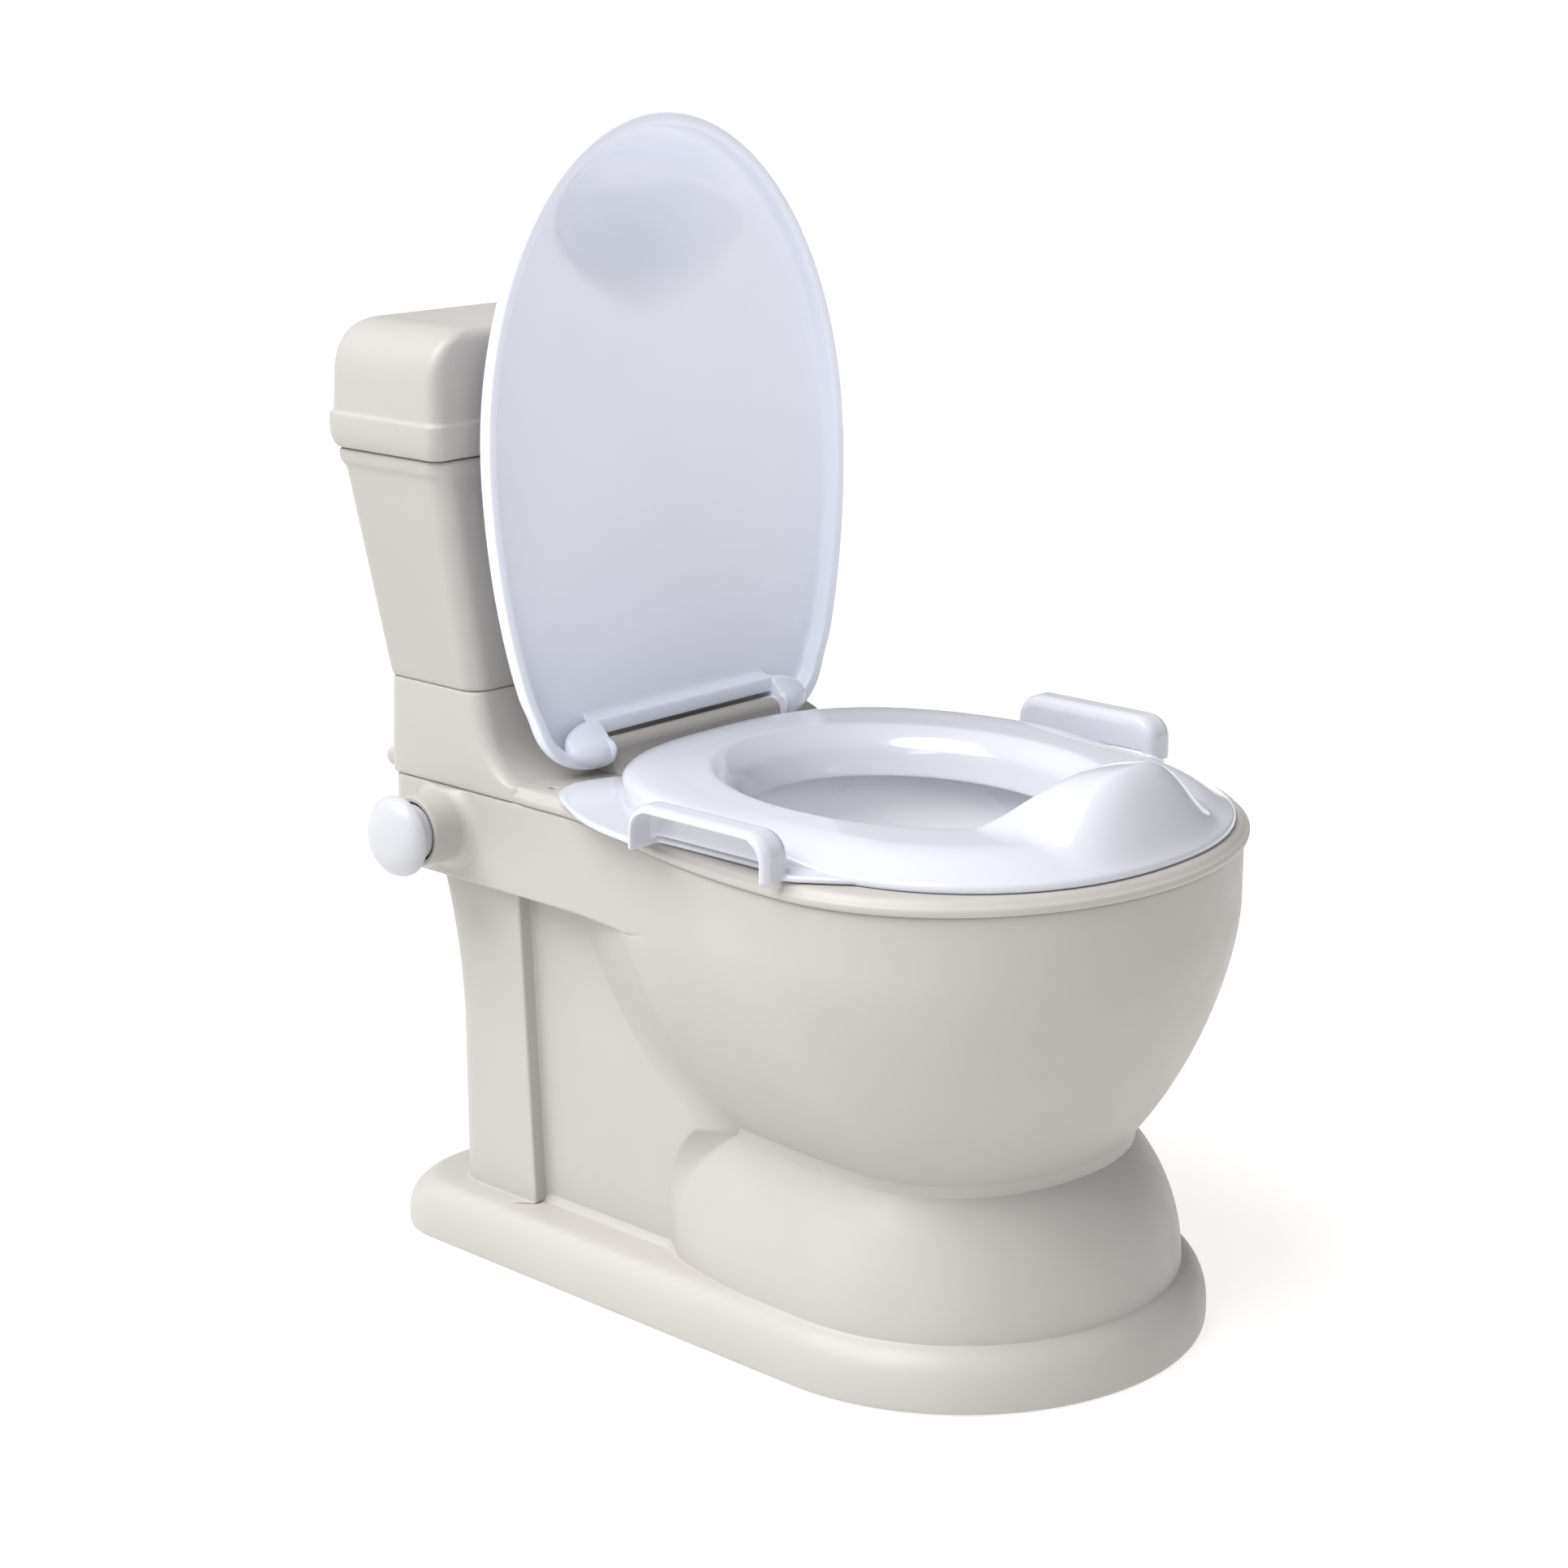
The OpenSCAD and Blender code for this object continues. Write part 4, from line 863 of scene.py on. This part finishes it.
def cover_ear(side):
    """Solid knuckle round the hinge pin. Its front slopes up to the ridge along the notch and
    its outer side runs out into the lip."""
    section = [(10 * math.cos(a), 10 * math.sin(a)) for a in np.radians(np.arange(-115, -286, -19))]
    section += [(7, 8.5), (12.6, 7.5), (13, 1.5), (12.2, -0.6), (9.4, -2.6), (6, -5.4), (2, -8.6)]
    section, middle = np.array(section), np.array([3.0, 0.0])
    rings = []
    for x, k in ((60.2, 0.78), (60.25, 0.9), (60.9, 0.985), (63, 1), (66, 0.99), (69.5, 0.94),
                 (73, 0.85), (77, 0.7), (80.5, 0.5), (83, 0.25)):
        sh = middle + (section - middle) * k
        rings.append(np.column_stack([np.full(len(sh), side * x), sh]))
    return skin(open_pose(rings if side > 0 else rings[::-1]))


# ---------------------------------------------------------------- pieces

build("base_moulding", [base_shell(), knob_boss()], "shell_beige", "chair", ["base_shell"])
build("deck_moulding", [deck_plate()], "shell_beige", "chair", ["deck"], holes=DECK_HOLES)
build("deck_collar", [collar(), rear_bead(), hinge_barrel()], "shell_beige", "chair", ["deck"])
build("tank_moulding", [tank_shell()], "shell_beige", "chair", ["tank_shell"])
build("tank_lid_moulding", [tank_lid()], "shell_beige", "tank_top", ["tank_lid"])
build("seat_cover_moulding", [seat_cover(), cover_ear(1), cover_ear(-1)], "cover_white", "cover",
      ["seat_cover"])
build("pot_moulding", [pot()], "pot_white", "pot", ["pot"])
build("seat_ring_moulding", [seat_ring()], "seat_white", "seat", ["training_seat"])

flange = flange_and_handle()
flange.materials.clear()
flange.materials.append(MATERIALS["seat_white"])
for name, side in (("left", 1), ("right", -1)):
    mesh = flange if side > 0 else flange.copy()
    if side < 0:
        mesh.transform(Matrix.Scale(-1, 4, (1, 0, 0)))
        mesh.flip_normals()
    piece = placed(f"seat_flange_{name}", mesh)
    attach(piece, "seat")
    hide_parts("training_seat")

NECK_R, BACK_X = 14.0, KNOB_X - 13.6             # neck radius, foot of the dome
knob_profile = [(KNOB_X - 19.8, 5), (KNOB_X - 19.8, NECK_R - 0.8), (KNOB_X - 19.2, NECK_R),
                (KNOB_X - 15, NECK_R), (BACK_X, NECK_R + 0.2)]
for q in (-54, -48, -36, -24, -12, 0, 12, 24, 36, 48, 60, 70, 78, 84, 88):
    a = math.radians(q)
    knob_profile.append((KNOB_X - 9 + (9 if q > 0 else 4.6) * math.sin(a),
                         KNOB_R * math.cos(a) ** 0.72))
build("push_knob", [turned(knob_profile)], "knob_white", "knob", ["flush_knob"])

# every CAD piece gets its material, also those that a moulding replaces
slots = {s["node"]: s["material_slot"] for s in frame["record"]["subparts"]}
for name, node in frame["nodes"].items():
    node.data.materials.clear()
    node.data.materials.append(MATERIALS[slots[name]])


# ---------------------------------------------------------------- floor, light and camera

def floor_material():
    m = bpy.data.materials.new("floor_white")
    m.use_nodes = True
    nodes, links = m.node_tree.nodes, m.node_tree.links
    shader = nodes["Principled BSDF"]
    noise = nodes.new("ShaderNodeTexNoise")
    noise.inputs["Scale"].default_value = 1.5
    ramp = nodes.new("ShaderNodeValToRGB")
    ramp.color_ramp.elements[0].color = linear(158, 157, 156)
    ramp.color_ramp.elements[1].color = linear(162, 161, 160)
    links.new(noise.outputs["Fac"], ramp.inputs["Fac"])
    links.new(ramp.outputs["Color"], shader.inputs["Base Color"])
    shader.inputs["Emission Color"].default_value = linear(255, 253, 251)
    shader.inputs["Emission Strength"].default_value = 0.76
    shader.inputs["Roughness"].default_value = 0.9
    shader.inputs["Specular IOR Level"].default_value = 0.1
    return m


floor_mesh = bpy.data.meshes.new("floor")
ring = [(40 * math.cos(a), 40 * math.sin(a), 0.0) for a in np.radians(np.arange(0, 360, 5))]
floor_mesh.from_pydata(ring, [], [tuple(range(len(ring)))])
floor_mesh.materials.append(floor_material())
floor = bpy.data.objects.new("floor", floor_mesh)
bpy.context.scene.collection.objects.link(floor)

world = bpy.data.worlds.new("studio")
bpy.context.scene.world = world
world.use_nodes = True
w_nodes, w_links = world.node_tree.nodes, world.node_tree.links
background = w_nodes["Background"]
background.inputs["Color"].default_value = (0.96, 0.97, 1.0, 1.0)
direction = w_nodes.new("ShaderNodeTexCoord")
towards = w_nodes.new("ShaderNodeVectorMath")
towards.operation = "DOT_PRODUCT"
towards.inputs[1].default_value = Vector((-0.75, 0.3, 0.6)).normalized()
strength = w_nodes.new("ShaderNodeMapRange")
for socket, value in (("From Min", -1), ("From Max", 1), ("To Min", 0.05), ("To Max", 0.85)):
    strength.inputs[socket].default_value = value
w_links.new(direction.outputs["Generated"], towards.inputs[0])
w_links.new(towards.outputs["Value"], strength.inputs["Value"])
w_links.new(strength.outputs["Result"], background.inputs["Strength"])


def softbox(name, place, target, size, power):
    """Rectangular area light that faces the target."""
    light = bpy.data.lights.new(name, "AREA")
    light.shape, light.size, light.size_y = "RECTANGLE", size[0], size[1]
    light.energy = power
    obj = bpy.data.objects.new(name, light)
    bpy.context.scene.collection.objects.link(obj)
    obj.location = place
    obj.rotation_mode = "QUATERNION"
    obj.rotation_quaternion = (Vector(target) - Vector(place)).to_track_quat("-Z", "Y")


sun_data = bpy.data.lights.new("key", "SUN")
sun_data.energy, sun_data.angle, sun_data.color = 3.2, math.radians(45), (1.0, 0.985, 0.965)
sun = bpy.data.objects.new("key", sun_data)
bpy.context.scene.collection.objects.link(sun)
sun.rotation_mode = "QUATERNION"
sun.rotation_quaternion = Vector((0.55, -0.22, -0.95)).to_track_quat("-Z", "Y")
softbox("strip_left", (-1.6, -0.3, 1.5), (0, 0, 0.25), (0.5, 0.25), 2.0)
softbox("strip_front", (-0.2, -1.9, 1.5), (0, -0.1, 0.25), (0.3, 0.15), 0.4)

camera_data = bpy.data.cameras.new("camera")
camera_data.lens, camera_data.sensor_width = 72.07, 36    # millimetres
camera_data.clip_start, camera_data.clip_end = 0.1, 100
camera = bpy.data.objects.new("camera", camera_data)
bpy.context.scene.collection.objects.link(camera)
azimuth, elevation = math.radians(-47.41), math.radians(15.32)
back = Vector((math.sin(azimuth) * math.cos(elevation), -math.cos(azimuth) * math.cos(elevation),
               math.sin(elevation)))
right = Vector((math.cos(azimuth), math.sin(azimuth), 0))
up = back.cross(right)
place = Vector((-1.0753, -0.9556, 0.6378))
camera.matrix_world = Matrix((
    (right.x, up.x, back.x, place.x), (right.y, up.y, back.y, place.y),
    (right.z, up.z, back.z, place.z), (0, 0, 0, 1)))
bpy.context.scene.camera = camera
bpy.context.scene.view_settings.view_transform = "Standard"

bpy.context.view_layer.update()
